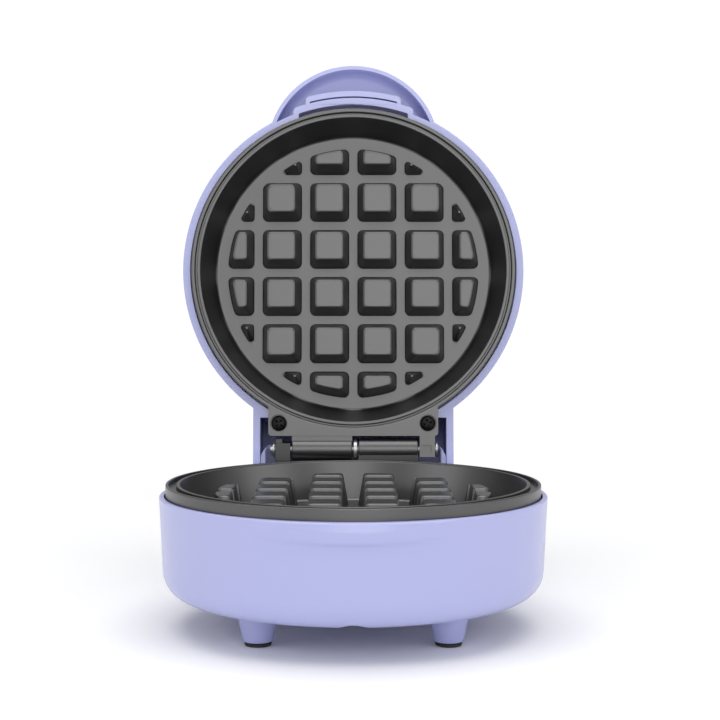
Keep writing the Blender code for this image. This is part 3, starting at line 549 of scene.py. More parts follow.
@dataclass(frozen=True)
class Finishes:
    """Every finish of the waffle maker, by the record's slot."""

    by_slot: dict[str, Finish] = field(
        default_factory=lambda: {
            "lavender_plastic": MouldedPlastic(
                "lavender_plastic", (0.282, 0.295, 0.555), (0.303, 0.302, 0.561), 0.36
            ),
            "coated_plate": CoatedCasting(
                "coated_plate", (0.130, 0.130, 0.130), (0.175, 0.173, 0.170), 0.52, 0.35, 0.3 * MM
            ),
            "black_screw": WorkedMetal(
                "black_screw", (0.022, 0.022, 0.024), (0.05, 0.05, 0.052), 0.38, 0.8, 0.15 * MM
            ),
            "steel": WorkedMetal("steel", (0.50, 0.50, 0.51), (0.62, 0.62, 0.63), 0.3, 1.0, 0.15 * MM),
            "shield_steel": WorkedMetal(
                "shield_steel",
                (0.58, 0.59, 0.60),
                (0.66, 0.67, 0.68),
                0.34,
                metallic=1.0,
                edge=0.2 * MM,
                stain=(0.3, 0.22, 0.14),
                stain_share=0.4,
            ),
            "element": WorkedMetal(
                "element",
                (0.10, 0.09, 0.085),
                (0.16, 0.13, 0.11),
                0.5,
                metallic=0.9,
                edge=0.2 * MM,
                stain=(0.10, 0.10, 0.16),
                stain_share=0.6,
            ),
            "rubber": Rubber("rubber", (0.022, 0.022, 0.024), (0.07, 0.07, 0.07), 0.8),
            "ceramic": Ceramic("ceramic", (0.75, 0.72, 0.66), (0.66, 0.62, 0.55), 0.6),
            "lens": ClearPart("lens", (0.70, 0.04, 0.03), (0.55, 0.02, 0.02), 0.14, clear=0.35),
            "lamp_glass": ClearPart("lamp_glass", (0.90, 0.62, 0.52), (0.85, 0.50, 0.42), 0.08, clear=0.9),
            "sleeve": Braid("sleeve", (0.82, 0.80, 0.72), (0.55, 0.52, 0.45), 0.85),
        }
    )


# Outlines -------------------------------------------------------------------------------------------


def arc(centre: Place, radius: float, start: float, end: float, steps: int) -> Outline:
    """Points of an arc.

    Args:
        centre: Its middle.
        radius: Its radius.
        start: First angle in degrees.
        end: Last angle in degrees.
        steps: Number of chords.

    Returns:
        The points, both ends included.
    """
    angles = [math.radians(start + (end - start) * step / steps) for step in range(steps + 1)]
    return [(centre[0] + radius * math.cos(a), centre[1] + radius * math.sin(a)) for a in angles]


def rounded(points: Sequence[Sequence[float]], closed: bool = False, steps: int = 6) -> Outline:
    """Round the corners of a path.

    Args:
        points: (a, b) or (a, b, radius) for each corner.
        closed: Whether the last point joins the first.
        steps: Chords to a rounded corner.

    Returns:
        The path with an arc at each corner that has a radius.
    """
    path: Outline = []
    count = len(points)
    for index, point in enumerate(points):
        here = Vector(point[:2])
        at_end = not closed and index in (0, count - 1)
        radius = point[2] if len(point) > 2 else 0.0
        if at_end or radius <= 0.0:
            path.append((here.x, here.y))
            continue
        back = (Vector(points[index - 1][:2]) - here).normalized()
        ahead = (Vector(points[(index + 1) % count][:2]) - here).normalized()
        half = back.angle(ahead) / 2
        reach = radius / math.tan(half)
        middle = here + (back + ahead).normalized() * (radius / math.sin(half))
        first, last = here + back * reach - middle, here + ahead * reach - middle
        sweep = first.angle_signed(last)
        for step in range(steps + 1):
            spoke = first.copy()
            spoke.rotate(Matrix.Rotation(-sweep * step / steps, 2))
            path.append((middle.x + spoke.x, middle.y + spoke.y))
    return path


def stepped(path: Outline, longest: float) -> Outline:
    """Divide a path's long straights.

    Args:
        path: The path's points.
        longest: The longest chord that may stay.

    Returns:
        The path with the added points.
    """
    fine = path[:1]
    for before, after in zip(path, path[1:]):
        parts = max(1, math.ceil(math.dist(before, after) / longest))
        for part in range(1, parts + 1):
            share = part / parts
            fine.append(tuple(a + (b - a) * share for a, b in zip(before, after)))
    return fine


def clipped(outline: Outline, normal: Place, limit: float) -> Outline:
    """The part of a convex outline that lies no further than limit along a direction.

    Args:
        outline: The outline's points.
        normal: The direction.
        limit: How far along it the outline may reach.

    Returns:
        The trimmed outline, empty where nothing is left.
    """
    kept: Outline = []
    for here, after in zip(outline, outline[1:] + outline[:1]):
        over, next_over = (p[0] * normal[0] + p[1] * normal[1] - limit for p in (here, after))
        if over <= 0.0:
            kept.append(here)
        if over * next_over < 0.0:
            share = over / (over - next_over)
            kept.append(tuple(a + (b - a) * share for a, b in zip(here, after)))
    return kept


# Meshes ---------------------------------------------------------------------------------------------


def make_piece(name: str, bm: bmesh.types.BMesh) -> bpy.types.Object:
    """Turn a bmesh into an object whose faces point outwards.

    Args:
        name: The object's name.
        bm: The mesh under construction, which is freed.

    Returns:
        The object.
    """
    bmesh.ops.remove_doubles(bm, verts=bm.verts, dist=1e-5)
    bmesh.ops.recalc_face_normals(bm, faces=bm.faces)
    mesh = bpy.data.meshes.new(name)
    bm.to_mesh(mesh)
    bm.free()
    piece = bpy.data.objects.new(name, mesh)
    bpy.context.scene.collection.objects.link(piece)
    return piece


def turned(
    name: str,
    profile: Outline,
    centre: Place = (0.0, 0.0),
    sides: int = ROUND_SIDES,
    reshape: Optional[Callable[[Vector], Vector]] = None,
) -> bpy.types.Object:
    """A solid turned about a vertical line.

    Args:
        name: The piece's name.
        profile: (radius, height) points; one that starts and ends on the line is closed by it.
        centre: Where the line stands.
        sides: Number of faces round it.
        reshape: Moves each point of the finished surface.

    Returns:
        The piece.
    """
    bm = bmesh.new()
    rings = []
    for radius, height in profile:
        if radius < 1e-6:
            rings.append([bm.verts.new((*centre, height))])
            continue
        spokes = [math.tau * step / sides for step in range(sides)]
        rings.append(
            [
                bm.verts.new((centre[0] + radius * math.cos(a), centre[1] + radius * math.sin(a), height))
                for a in spokes
            ]
        )
    pairs = list(zip(rings, rings[1:]))
    if profile[0][0] >= 1e-6:
        pairs.append((rings[-1], rings[0]))
    for lower, upper in pairs:
        for index in range(sides):
            after = (index + 1) % sides
            corners = [lower[index % len(lower)], lower[after % len(lower)]]
            corners += [upper[after % len(upper)], upper[index % len(upper)]]
            corners = list(dict.fromkeys(corners))
            if len(corners) > 2:
                bm.faces.new(corners)
    if reshape:
        for vert in bm.verts:
            vert.co = reshape(vert.co)
    return make_piece(name, bm)


def lofted(name: str, *solids: Sequence[Sequence[Sequence[float]]]) -> bpy.types.Object:
    """Solids through closed loops of points, capped at both ends, in one piece.

    Args:
        name: The piece's name.
        solids: The loops of each solid; the loops of one solid have the same number of points.

    Returns:
        The piece.
    """
    bm = bmesh.new()
    for loops in solids:
        rings = [[bm.verts.new(point) for point in loop] for loop in loops]
        bm.faces.new(rings[0])
        bm.faces.new(rings[-1])
        for lower, upper in zip(rings, rings[1:]):
            for index in range(len(lower)):
                after = (index + 1) % len(lower)
                bm.faces.new((lower[index], lower[after], upper[after], upper[index]))
    return make_piece(name, bm)


def prism(name: str, outline: Outline, low: float, high: float) -> bpy.types.Object:
    """An upright prism over an outline of (x, y) points."""
    return lofted(name, [[(x, y, z) for x, y in outline] for z in (low, high)])


def side_prism(name: str, outline: Outline, half_width: float) -> bpy.types.Object:
    """A prism across the object over an outline of (y, z) points."""
    return lofted(name, [[(x, y, z) for y, z in outline] for x in (-half_width, half_width)])


def front_prism(name: str, outline: Outline, front: float, back: float) -> bpy.types.Object:
    """A prism from front to back over an outline of (x, z) points."""
    return lofted(name, [[(x, y, z) for x, z in outline] for y in (front, back)])


def block(name: str, low: Sequence[float], high: Sequence[float]) -> bpy.types.Object:
    """A block with its edges along the axes.

    Args:
        name: The piece's name.
        low: Its lower, left, front corner.
        high: Its upper, right, back corner.

    Returns:
        The piece.
    """
    outline = [(low[0], low[1]), (high[0], low[1]), (high[0], high[1]), (low[0], high[1])]
    return prism(name, outline, low[2], high[2])


def rod(
    name: str, place: Place, low: float, high: float, radius: float, sides: int = SMALL_SIDES
) -> bpy.types.Object:
    """An upright round bar.

    Args:
        name: The piece's name.
        place: Where it stands.
        low: Height of its lower end.
        high: Height of its upper end.
        radius: Its radius.
        sides: Number of faces round it.

    Returns:
        The piece.
    """
    return turned(name, [(0.0, low), (radius, low), (radius, high), (0.0, high)], place, sides)


def laid(piece: bpy.types.Object, turn: float, axis: str, offset: Sequence[float]) -> bpy.types.Object:
    """Turn a piece's mesh, then move it.

    Args:
        piece: The piece.
        turn: Degrees to turn it by.
        axis: The axis to turn it about.
        offset: How far to move it.

    Returns:
        The piece.
    """
    piece.data.transform(Matrix.Translation(offset) @ Matrix.Rotation(math.radians(turn), 4, axis))
    return piece


def evaluated_mesh(piece: bpy.types.Object) -> bpy.types.Mesh:
    """The piece's mesh with its modifiers worked out."""
    graph = bpy.context.evaluated_depsgraph_get()
    graph.update()
    return bpy.data.meshes.new_from_object(piece.evaluated_get(graph))


def combine(piece: bpy.types.Object, joining: Joining, *tools: bpy.types.Object) -> bpy.types.Object:
    """Apply one Boolean for each tool.

    Args:
        piece: What is changed.
        joining: What each Boolean does.
        tools: The tools, which are removed.

    Returns:
        The piece.
    """
    for tool in tools:
        step = piece.modifiers.new("join", "BOOLEAN")
        step.operation = joining.value
        step.solver = "MANIFOLD"
        step.object = tool
        mesh = evaluated_mesh(piece)
        piece.modifiers.clear()
        piece.data = mesh
        bpy.data.objects.remove(tool)
    return piece


def fuse(piece: bpy.types.Object, *tools: bpy.types.Object) -> bpy.types.Object:
    """Join the tools to the piece."""
    return combine(piece, Joining.FUSE, *tools)


def carve(piece: bpy.types.Object, *tools: bpy.types.Object) -> bpy.types.Object:
    """Cut the tools out of the piece."""
    return combine(piece, Joining.CARVE, *tools)


def polish(piece: bpy.types.Object) -> None:
    """Shade a piece smooth between its sharp edges, led by its large faces.

    Args:
        piece: The piece.
    """
    piece.data.shade_smooth()
    piece.data.set_sharp_from_angle(angle=SHARP_ANGLE)
    step = piece.modifiers.new("lead", "WEIGHTED_NORMAL")
    step.keep_sharp = True
    mesh = evaluated_mesh(piece)
    piece.modifiers.clear()
    piece.data = mesh


# Layouts by Geometry Nodes --------------------------------------------------------------------------


class Layout:
    """A Geometry Nodes tree with named inputs that sets copies of a part in their places."""

    def __init__(self, name: str, inputs: dict[str, str]) -> None:
        """Make the tree's interface.

        Args:
            name: The tree's name.
            inputs: The socket type of each named input.
        """
        self.tree = bpy.data.node_groups.new(name, "GeometryNodeTree")
        sockets = {"Places": "NodeSocketGeometry", **inputs}
        sockets |= {"Part": "NodeSocketObject", "Material": "NodeSocketMaterial"}
        for label, kind in sockets.items():
            self.tree.interface.new_socket(label, in_out="INPUT", socket_type=kind)
        self.tree.interface.new_socket("Set Parts", in_out="OUTPUT", socket_type="NodeSocketGeometry")
        self.graph = Graph(self.tree)
        self.inputs = self.graph.node("NodeGroupInput").outputs
        self.finish(self.places())

    def places(self) -> dict[str, Any]:
        """Links for the instancing node's sockets; the plain layout uses the piece's own points."""
        return {"Points": self.inputs["Places"]}

    def finish(self, links: dict[str, Any]) -> None:
        """End the tree: instance the part, realize the copies and set their material.

        Args:
            links: Links for the instancing node's sockets.
        """
        part = self.graph.node("GeometryNodeObjectInfo", {}, {"Object": self.inputs["Part"]})
        links = {**links, "Instance": part.outputs["Geometry"]}
        copies = self.graph.node("GeometryNodeInstanceOnPoints", {}, links)
        solid = self.graph.node("GeometryNodeRealizeInstances", {}, {0: copies.outputs[0]})
        dressed = self.graph.node(
            "GeometryNodeSetMaterial",
            {},
            {"Geometry": solid.outputs[0], "Material": self.inputs["Material"]},
        )
        self.graph.node("NodeGroupOutput", {}, {0: dressed.outputs[0]})

    def run(self, name: str, places: Sequence[Sequence[float]], settings: Setting) -> bpy.types.Object:
        """Set the part in its places.

        Args:
            name: The new piece's name.
            places: Points that the tree works from.
            settings: A value for each named input.

        Returns:
            The piece as a plain mesh; the part is removed.
        """
        mesh = bpy.data.meshes.new(name)
        mesh.from_pydata([tuple(place) for place in places], [], [])
        piece = bpy.data.objects.new(name, mesh)
        bpy.context.scene.collection.objects.link(piece)
        step = piece.modifiers.new(self.tree.name, "NODES")
        step.node_group = self.tree
        for item in self.tree.interface.items_tree:
            if item.in_out == "INPUT" and item.name in settings:
                step[item.identifier] = settings[item.name]
        made = evaluated_mesh(piece)
        piece.modifiers.clear()
        piece.data = made
        bpy.data.objects.remove(settings["Part"])
        return piece


class TurnedLayout(Layout):
    """Sets each copy at its point with a turn of its own about the vertical."""

    def __init__(self) -> None:
        """Make the tree."""
        super().__init__("turned_parts", {"Seed": "NodeSocketInt"})

    def places(self) -> dict[str, Any]:
        """Give each point a random turn with a fixed seed.

        Returns:
            Links for the instancing node's sockets.
        """
        turn = self.graph.node(
            "FunctionNodeRandomValue",
            {"data_type": "FLOAT"},
            {"Max_001": math.pi, "Seed": self.inputs["Seed"]},
        )
        spin = self.graph.node("ShaderNodeCombineXYZ", {}, {"Z": self.graph.find(turn.outputs, "Value_001")})
        return {"Points": self.inputs["Places"], "Rotation": spin.outputs[0]}


class PegLayout(Layout):
    """Sets pegs on a square grid, up to a distance from its middle."""

    def __init__(self) -> None:
        """Make the tree."""
        sizes = {"Count": "NodeSocketInt", "Pitch": "NodeSocketFloat", "Most Reach": "NodeSocketFloat"}
        super().__init__("peg_grid", sizes)

    def places(self) -> dict[str, Any]:
        """Make the grid and drop its points that lie out of reach.

        Returns:
            Links for the instancing node's sockets.
        """
        graph, inputs = self.graph, self.inputs
        side = (Value(graph, inputs["Count"]) - 1.0) * Value(graph, inputs["Pitch"])
        grid = graph.node(
            "GeometryNodeMeshGrid",
            {},
            {"Size X": side, "Size Y": side, "Vertices X": inputs["Count"], "Vertices Y": inputs["Count"]},
        )
        where = graph.node("GeometryNodeInputPosition").outputs[0]
        length = graph.node("ShaderNodeVectorMath", {"operation": "LENGTH"}, {0: where})
        reach = Value(graph, length.outputs["Value"])
        far = reach.math("GREATER_THAN", reach, Value(graph, inputs["Most Reach"]))
        kept = graph.node(
            "GeometryNodeDeleteGeometry",
            {"domain": "POINT"},
            {"Geometry": grid.outputs["Mesh"], "Selection": far},
        )
        return {"Points": kept.outputs[0]}


# Places ---------------------------------------------------------------------------------------------


@dataclass
class ClosedFrame:
    """Carries pieces from the closed frame, in millimetres, to where the frame's bodies rest."""

    axis_y: float
    hinge_y: float
    hinge_z: float
    open_angle: float

    @classmethod
    def from_record(cls, record: dict) -> "ClosedFrame":
        """Read the drum's axis from the lower plate's box, and the hinge from the record.

        Args:
            record: The frame's record.

        Returns:
            The closed frame.
        """
        low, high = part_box("lower_plate")
        axis_y = low.y + (high.x - low.x) / 2
        joint = record["behaviour"]["joints"][0]
        _, pin_y, pin_z = joint["pos_m"]
        return cls(axis_y / MM, (pin_y - axis_y) / MM, pin_z / MM, joint["range_deg"][1])

    def matrix(self, body: Body) -> Matrix:
        """Work out how a body's pieces get to their place, in metres.

        Args:
            body: The body that they ride on.

        Returns:
            The matrix that carries them there.
        """
        place = Matrix.Translation((0.0, self.axis_y, 0.0))
        if body is Body.LID:
            pin = Vector((0.0, self.hinge_y, self.hinge_z))
            swing = Matrix.Rotation(-math.radians(self.open_angle), 4, "X")
            place = place @ Matrix.Translation(pin) @ swing @ Matrix.Translation(-pin)
        return Matrix.Scale(MM, 4) @ place


@dataclass
class Assembly:
    """What every sub-assembly shares: the frame, its body and the finishes."""

    frame: ClosedFrame
    finishes: Finishes
    body: Body = Body.BASE

    def settle(self, piece: bpy.types.Object, slot: str, *nodes: str) -> bpy.types.Object:
        """Finish a piece and hang it on the assembly's body.

        Args:
            piece: A piece in the closed frame.
            slot: The finish's slot.
            nodes: Frame nodes that it stands for.

        Returns:
            The piece.
        """
        piece.data.transform(self.frame.matrix(self.body))
        piece.data.materials.clear()
        piece.data.materials.append(self.finishes.by_slot[slot].material())
        polish(piece)
        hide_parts(*nodes)
        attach(piece, self.body.value)
        LOG.info("%s: %d faces in %s, for %s", piece.name, len(piece.data.polygons), slot, ", ".join(nodes))
        return piece


# Shared sizes ---------------------------------------------------------------------------------------


@dataclass(frozen=True)
class DrumSizes:
    """The turned drum that base and lid share."""

    radius: float = 63.0
    end_radius: float = 61.5
    corner: float = 8.5
    wall: float = 2.0
    bottom: float = 10.8
    floor: float = 4.0
    base_edge: float = 43.3
    lid_edge: float = 51.0
    top: float = 82.0
    lip_depth: float = 6.0
    lip_round: float = 0.6

    def profile(self, edge: float, end: float, lip_radius: float, floor: float) -> Outline:
        """Cross-section from the middle of the closed end, out over the edge and back inside.

        Args:
            edge: Height of the open edge.
            end: Height of the closed end.
            lip_radius: Inner radius of the lip at the edge.
            floor: Thickness of the closed end.

        Returns:
            The (radius, height) points.
        """
        way = 1.0 if end > edge else -1.0
        inside = self.end_radius - self.wall
        corners = [
            (0.0, end),
            (self.end_radius, end, self.corner),
            (self.radius, edge, self.lip_round),
            (lip_radius, edge, self.lip_round / 2),
            (lip_radius, edge + way * self.lip_depth),
            (inside, edge + way * self.lip_depth),
            (inside, end - way * floor, self.corner - self.wall),
            (0.0, end - way * floor),
        ]
        return rounded(corners, steps=10)


@dataclass(frozen=True)
class ScrewSizes:
    """Bores and bosses that all the screws share."""

    radius: float = 1.5
    boss: float = 3.4
    ear_x: float = 27.2
    lower_ear_y: float = 59.1
    upper_ear_y: float = 56.8
    shield_x: float = 22.0

    @property
    def bore(self) -> float:
        """Radius of a clearance hole."""
        return self.radius + GAP


@dataclass(frozen=True)
class CoverSizes:
    """The bottom cover, its tongue and its feet."""

    radius: float = 50.0
    thickness: float = 1.7
    ledge: float = 4.0
    tongue_half: float = 27.6
    tongue_back: float = 69.0
    tongue_screw_x: float = 10.0
    foot_top: float = 6.5
    foot_bottom: float = 4.6
    pad: float = 1.0
    front_foot: Place = (29.5, -29.5)
    rear_foot: Place = (20.0, 61.0)

    def outline(self, grown: float) -> Outline:
        """Round outline with a square tongue to the hinge.

        Args:
            grown: How far the outline is moved out.

        Returns:
            The (x, y) points.
        """
        radius, half = self.radius + grown, self.tongue_half + grown
        meet = math.degrees(math.asin(half / radius))
        back = self.tongue_back + grown
        return [*arc((0.0, 0.0), radius, 90 + meet, 450 - meet, 150), (half, back), (-half, back)]

    def screw_places(self) -> list[Place]:
        """Where the cover is screwed to the shell's ledge."""
        side, back = self.radius - self.ledge / 2, self.tongue_back - self.ledge / 2
        return [(-side, 0.0), (side, 0.0), (-self.tongue_screw_x, back), (self.tongue_screw_x, back)]

    def foot_places(self) -> list[Place]:
        """Where the four feet stand."""
        pairs = (self.front_foot, self.rear_foot)
        return [(side * x, y) for x, y in pairs for side in (-1, 1)]


# Base -----------------------------------------------------------------------------------------------


@dataclass
class BaseHousing(Assembly):
    """Lavender drum of the base with its chin and hinge tower."""

    drum: DrumSizes = DrumSizes()
    screws: ScrewSizes = ScrewSizes()
    cover: CoverSizes = CoverSizes()
    lip_radius: float = 61.3
    chin_reach: float = 1.8
    chin_half: float = 31.5
    crest_depth: float = 2.9
    crease_depth: float = 7.0
    crease_rise: float = 1.5
    tower_half: float = 33.3
    tower_wall: float = 1.6
    tower_front: float = 54.9
    tower_back: float = 72.3
    tower_top: float = 51.5
    tower_corner: float = 3.0
    boss_top: float = 40.4
    gland_z: float = 22.5
    gland_hole: float = 4.6
    foot_front: float = 49.0
    foot_drop: float = 2.3
    room_front: float = 44.0
    hole_start: float = 24.0
    notch_radius: float = 7.6
    notch_half: float = 6.5
    notch_inset: float = 5.5
    notch_drop: float = 6.0

    def chin(self, point: Vector) -> Vector:
        """Push the drum's outer wall out into the thumb lip at the front.

        Args:
            point: A point of the drum.

        Returns:
            The point, moved out where the chin stands.
        """
        outward = Vector((point.x, point.y, 0.0))
        depth = self.drum.base_edge - point.z
        across = abs(point.x) / self.chin_half
        if point.y > 0.0 or across >= 1.0 or outward.length < self.lip_radius + 0.25 * self.drum.wall:
            return point
        lift = self.chin_reach * (1.0 - across**2) ** 0.8
        crest = self.crest_depth * (1.0 - across**2) + 0.15
        crease = self.crease_depth - self.crease_rise * across**2
        if depth <= crest:
            share = 0.62 + 0.38 * (depth / crest)
        elif depth < crease:
            fall = (depth - crest) / (crease - crest)
            share = 1.0 - 0.3 * fall - 0.7 * fall**5
        else:
            return point
        return point + outward.normalized() * lift * share

    def tower(self) -> bpy.types.Object:
        """Build the hinge tower: shoulders rounded seen from the front, back corners from above.

        Returns:
            The tower, solid.
        """
        half, turn = self.tower_half, self.tower_corner / 2
        plan = [(-half, self.tower_front), (half, self.tower_front)]
        plan += [(half, self.tower_back, turn), (-half, self.tower_back, turn)]
        body = prism("tower", rounded(plan, closed=True), self.drum.bottom, self.tower_top)
        face = [(-half, self.drum.bottom - 1.0), (half, self.drum.bottom - 1.0)]
        face += [(half, self.tower_top, self.tower_corner), (-half, self.tower_top, self.tower_corner)]
        face = rounded(face, closed=True, steps=10)
        limit = front_prism("limit", face, self.tower_front - 1.0, self.tower_back + 1.0)
        return combine(body, Joining.TRIM, limit)

    def shell(self) -> None:
        """Build the base shell."""
        low = self.drum.bottom
        path = stepped(self.drum.profile(self.drum.base_edge, low, self.lip_radius, self.drum.floor), 0.5)
        profile = self.thinned(path)
        shell = turned("base_shell_piece", profile, sides=WIDE_SIDES, reshape=self.chin)
        foot = block(
            "foot",
            (-self.tower_half, self.foot_front, low),
            (self.tower_half, self.tower_back, self.drum.base_edge - self.foot_drop),
        )
        fuse(shell, foot, self.tower())
        inner_x = self.tower_half - self.tower_wall
        room = block(
            "room",
            (-inner_x, self.room_front, low + self.drum.floor),
            (inner_x, self.tower_back - self.tower_wall, self.tower_top + 5.0),
        )
        carve(shell, room)
        for side in (-1, 1):
            place = (side * self.screws.ear_x, self.screws.lower_ear_y)
            start = low + self.drum.floor
            fuse(shell, rod("boss", place, start - HAIR, self.boss_top, self.screws.boss))
            carve(shell, rod("hole", place, self.hole_start, self.boss_top + 1.0, self.screws.bore))
        carve(
            shell,
            prism("recess", self.cover.outline(GAP), low - 1.0, low + self.cover.thickness + GAP),
            prism("opening", self.cover.outline(-self.cover.ledge), low, low + 2 * self.drum.floor),
        )
        for place in self.cover.screw_places():
            carve(shell, rod("hole", place, low, low + 2 * self.drum.floor, self.screws.bore))
        gland = rod("gland_hole", (0.0, 0.0), -4.0, 4.0, self.gland_hole, ROUND_SIDES)
        carve(shell, laid(gland, 90.0, "X", (0.0, self.tower_back, self.gland_z)))
        half, radius = self.notch_half, self.notch_radius
        notch = rod("notch", (0.0, 0.0), -half, half, radius, ROUND_SIDES)
        front = -self.drum.radius + self.notch_inset
        carve(shell, laid(notch, 90.0, "X", (0.0, front, low - self.notch_drop)))
        self.settle(shell, "lavender_plastic", "base_shell")

    def thinned(self, path: Outline) -> Outline:
        """Keep a path's fine steps only near the edge, where the chin needs them.

        Args:
            path: The finely stepped path.

        Returns:
            The path with fewer points.
        """
        kept = [path[0]]
        for point in path[1:-1]:
            near_edge = point[1] > self.drum.base_edge - self.crease_depth - 2.0
            if near_edge or math.dist(point, kept[-1]) > 2.2 or self.bends(path, point):
                kept.append(point)
        return [*kept, path[-1]]

    @staticmethod
    def bends(path: Outline, point: Place) -> bool:
        """Tell whether a path turns at one of its points.

        Args:
            path: The path.
            point: One of its inner points.

        Returns:
            True where it turns.
        """
        index = path.index(point)
        before = Vector(point) - Vector(path[index - 1])
        after = Vector(path[index + 1]) - Vector(point)
        return before.angle(after) > math.radians(0.5)


@dataclass
class Underside(Assembly):
    """Bottom cover with its feet and pads, bored for its screws."""

    drum: DrumSizes = DrumSizes()
    screws: ScrewSizes = ScrewSizes()
    cover: CoverSizes = CoverSizes()
    clamp_place: Place = (7.5, 56.0)
    clamp_boss: float = 2.9
    clamp_rise: float = 6.0
    pad_stud: float = 1.8
    stud_hole: float = 2.1
    stud_rise: float = 5.0
    foot_flare: float = 1.2

    def foot(self) -> bpy.types.Object:
        """Build one tapered foot about the origin, hollow for the pad's stud.

        Returns:
            The foot.
        """
        low = self.cover.pad + GAP
        corners = [
            (self.stud_hole, low),
            (self.cover.foot_bottom, low, 0.6),
            (self.cover.foot_top, self.drum.bottom - 0.6, 0.6),
            (self.cover.foot_top + self.foot_flare, self.drum.bottom + 0.1),
            (self.stud_hole, self.drum.bottom + 0.1),
        ]
        return turned("foot", rounded(corners, closed=True), sides=FOOT_SIDES)

    def build(self) -> None:
        """Build the cover with its screw holes, its feet and the pads."""
        low, top = self.drum.bottom, self.drum.bottom + self.cover.thickness
        cover = prism("base_cover_piece", self.cover.outline(0.0), low, top)
        for side in (-1, 1):
            place = (side * self.clamp_place[0], self.clamp_place[1])
            fuse(cover, rod("boss", place, top - HAIR, top + self.clamp_rise, self.clamp_boss))
            end = top + self.clamp_rise + 1.0
            carve(cover, rod("hole", place, top + 2.0, end, self.screws.bore))
        for place in self.cover.screw_places():
            carve(cover, rod("hole", place, 0.0, top + 1.0, self.screws.bore))
        for place in self.cover.foot_places():
            carve(cover, rod("socket", place, 0.0, low + 1.0, self.stud_hole))
        self.settle(cover, "lavender_plastic", "base_cover")
        plastic = self.finishes.by_slot["lavender_plastic"].material()
        places = [(*place, 0.0) for place in self.cover.foot_places()]
        feet = Layout("feet", {}).run("base_feet", places, {"Part": self.foot(), "Material": plastic})
        self.settle(feet, "lavender_plastic")
        self.pads(places)

    def pads(self, places: Sequence[Sequence[float]]) -> None:
        """Set the rubber pads under the feet.

        Args:
            places: Where the feet stand.
        """
        rim = self.cover.foot_bottom - GAP
        corners = [
            (0.0, 0.0),
            (rim - GAP, 0.0, 0.25),
            (rim, self.cover.pad, 0.15),
            (self.pad_stud, self.cover.pad),
            (self.pad_stud, self.cover.pad + self.stud_rise, 0.4),
            (0.0, self.cover.pad + self.stud_rise),
        ]
        pad = turned("pad", rounded(corners), sides=FOOT_SIDES)
        rubber = self.finishes.by_slot["rubber"].material()
        pads = Layout("pads", {}).run("foot_pads", places, {"Part": pad, "Material": rubber})
        names = [f"foot_pad_{end}_{side}" for end in ("front", "rear") for side in ("left", "right")]
        self.settle(pads, "rubber", *names)


# Screws ---------------------------------------------------------------------------------------------


@dataclass(frozen=True)
class ScrewShape:
    """One kind of screw, standing head up with its seat at height 0."""

    head_radius: float = 2.8
    head_height: float = 1.6
    length: float = 12.0
    radius: float = 1.5
    thread_pitch: float = 1.1
    recess_depth: float = 1.0
    recess_width: float = 0.75
    recess_reach: float = 1.7

    def build(self) -> bpy.types.Object:
        """Build the screw: crowned head, cross recess and a threaded shank.

        Returns:
            The screw.
        """
        wide, high, core = self.head_radius, self.head_height, self.radius - 0.3
        crown = [(0.0, high), (wide * 0.55, high - 0.05), (wide * 0.9, high - 0.45)]
        crown += [(wide, high * 0.45), (wide, 0.0), (self.radius, 0.0)]
        turns = int((self.length - 1.5) / self.thread_pitch)
        thread = []
        for turn in range(turns):
            start = -0.6 - turn * self.thread_pitch
            thread += [(self.radius, start), (core, start - self.thread_pitch / 2)]
        tip = [(core, -self.length + 0.8), (self.radius - 0.8, -self.length), (0.0, -self.length)]
        screw = turned("screw", [*crown, *thread, *tip], sides=SMALL_SIDES)
        floor = self.head_height - self.recess_depth
        for turn in (0.0, 90.0):
            narrow, reach = self.recess_width / 2, self.recess_reach
            wide = [(-reach, -narrow), (reach, -narrow), (reach, narrow), (-reach, narrow)]
            deep = [(x * 0.45, y * 0.7) for x, y in wide]
            loops = [[(x, y, floor) for x, y in deep], [(x, y, self.head_height + 0.1) for x, y in wide]]
            carve(screw, laid(lofted("slot", loops), turn, "Z", (0.0, 0.0, 0.0)))
        return screw


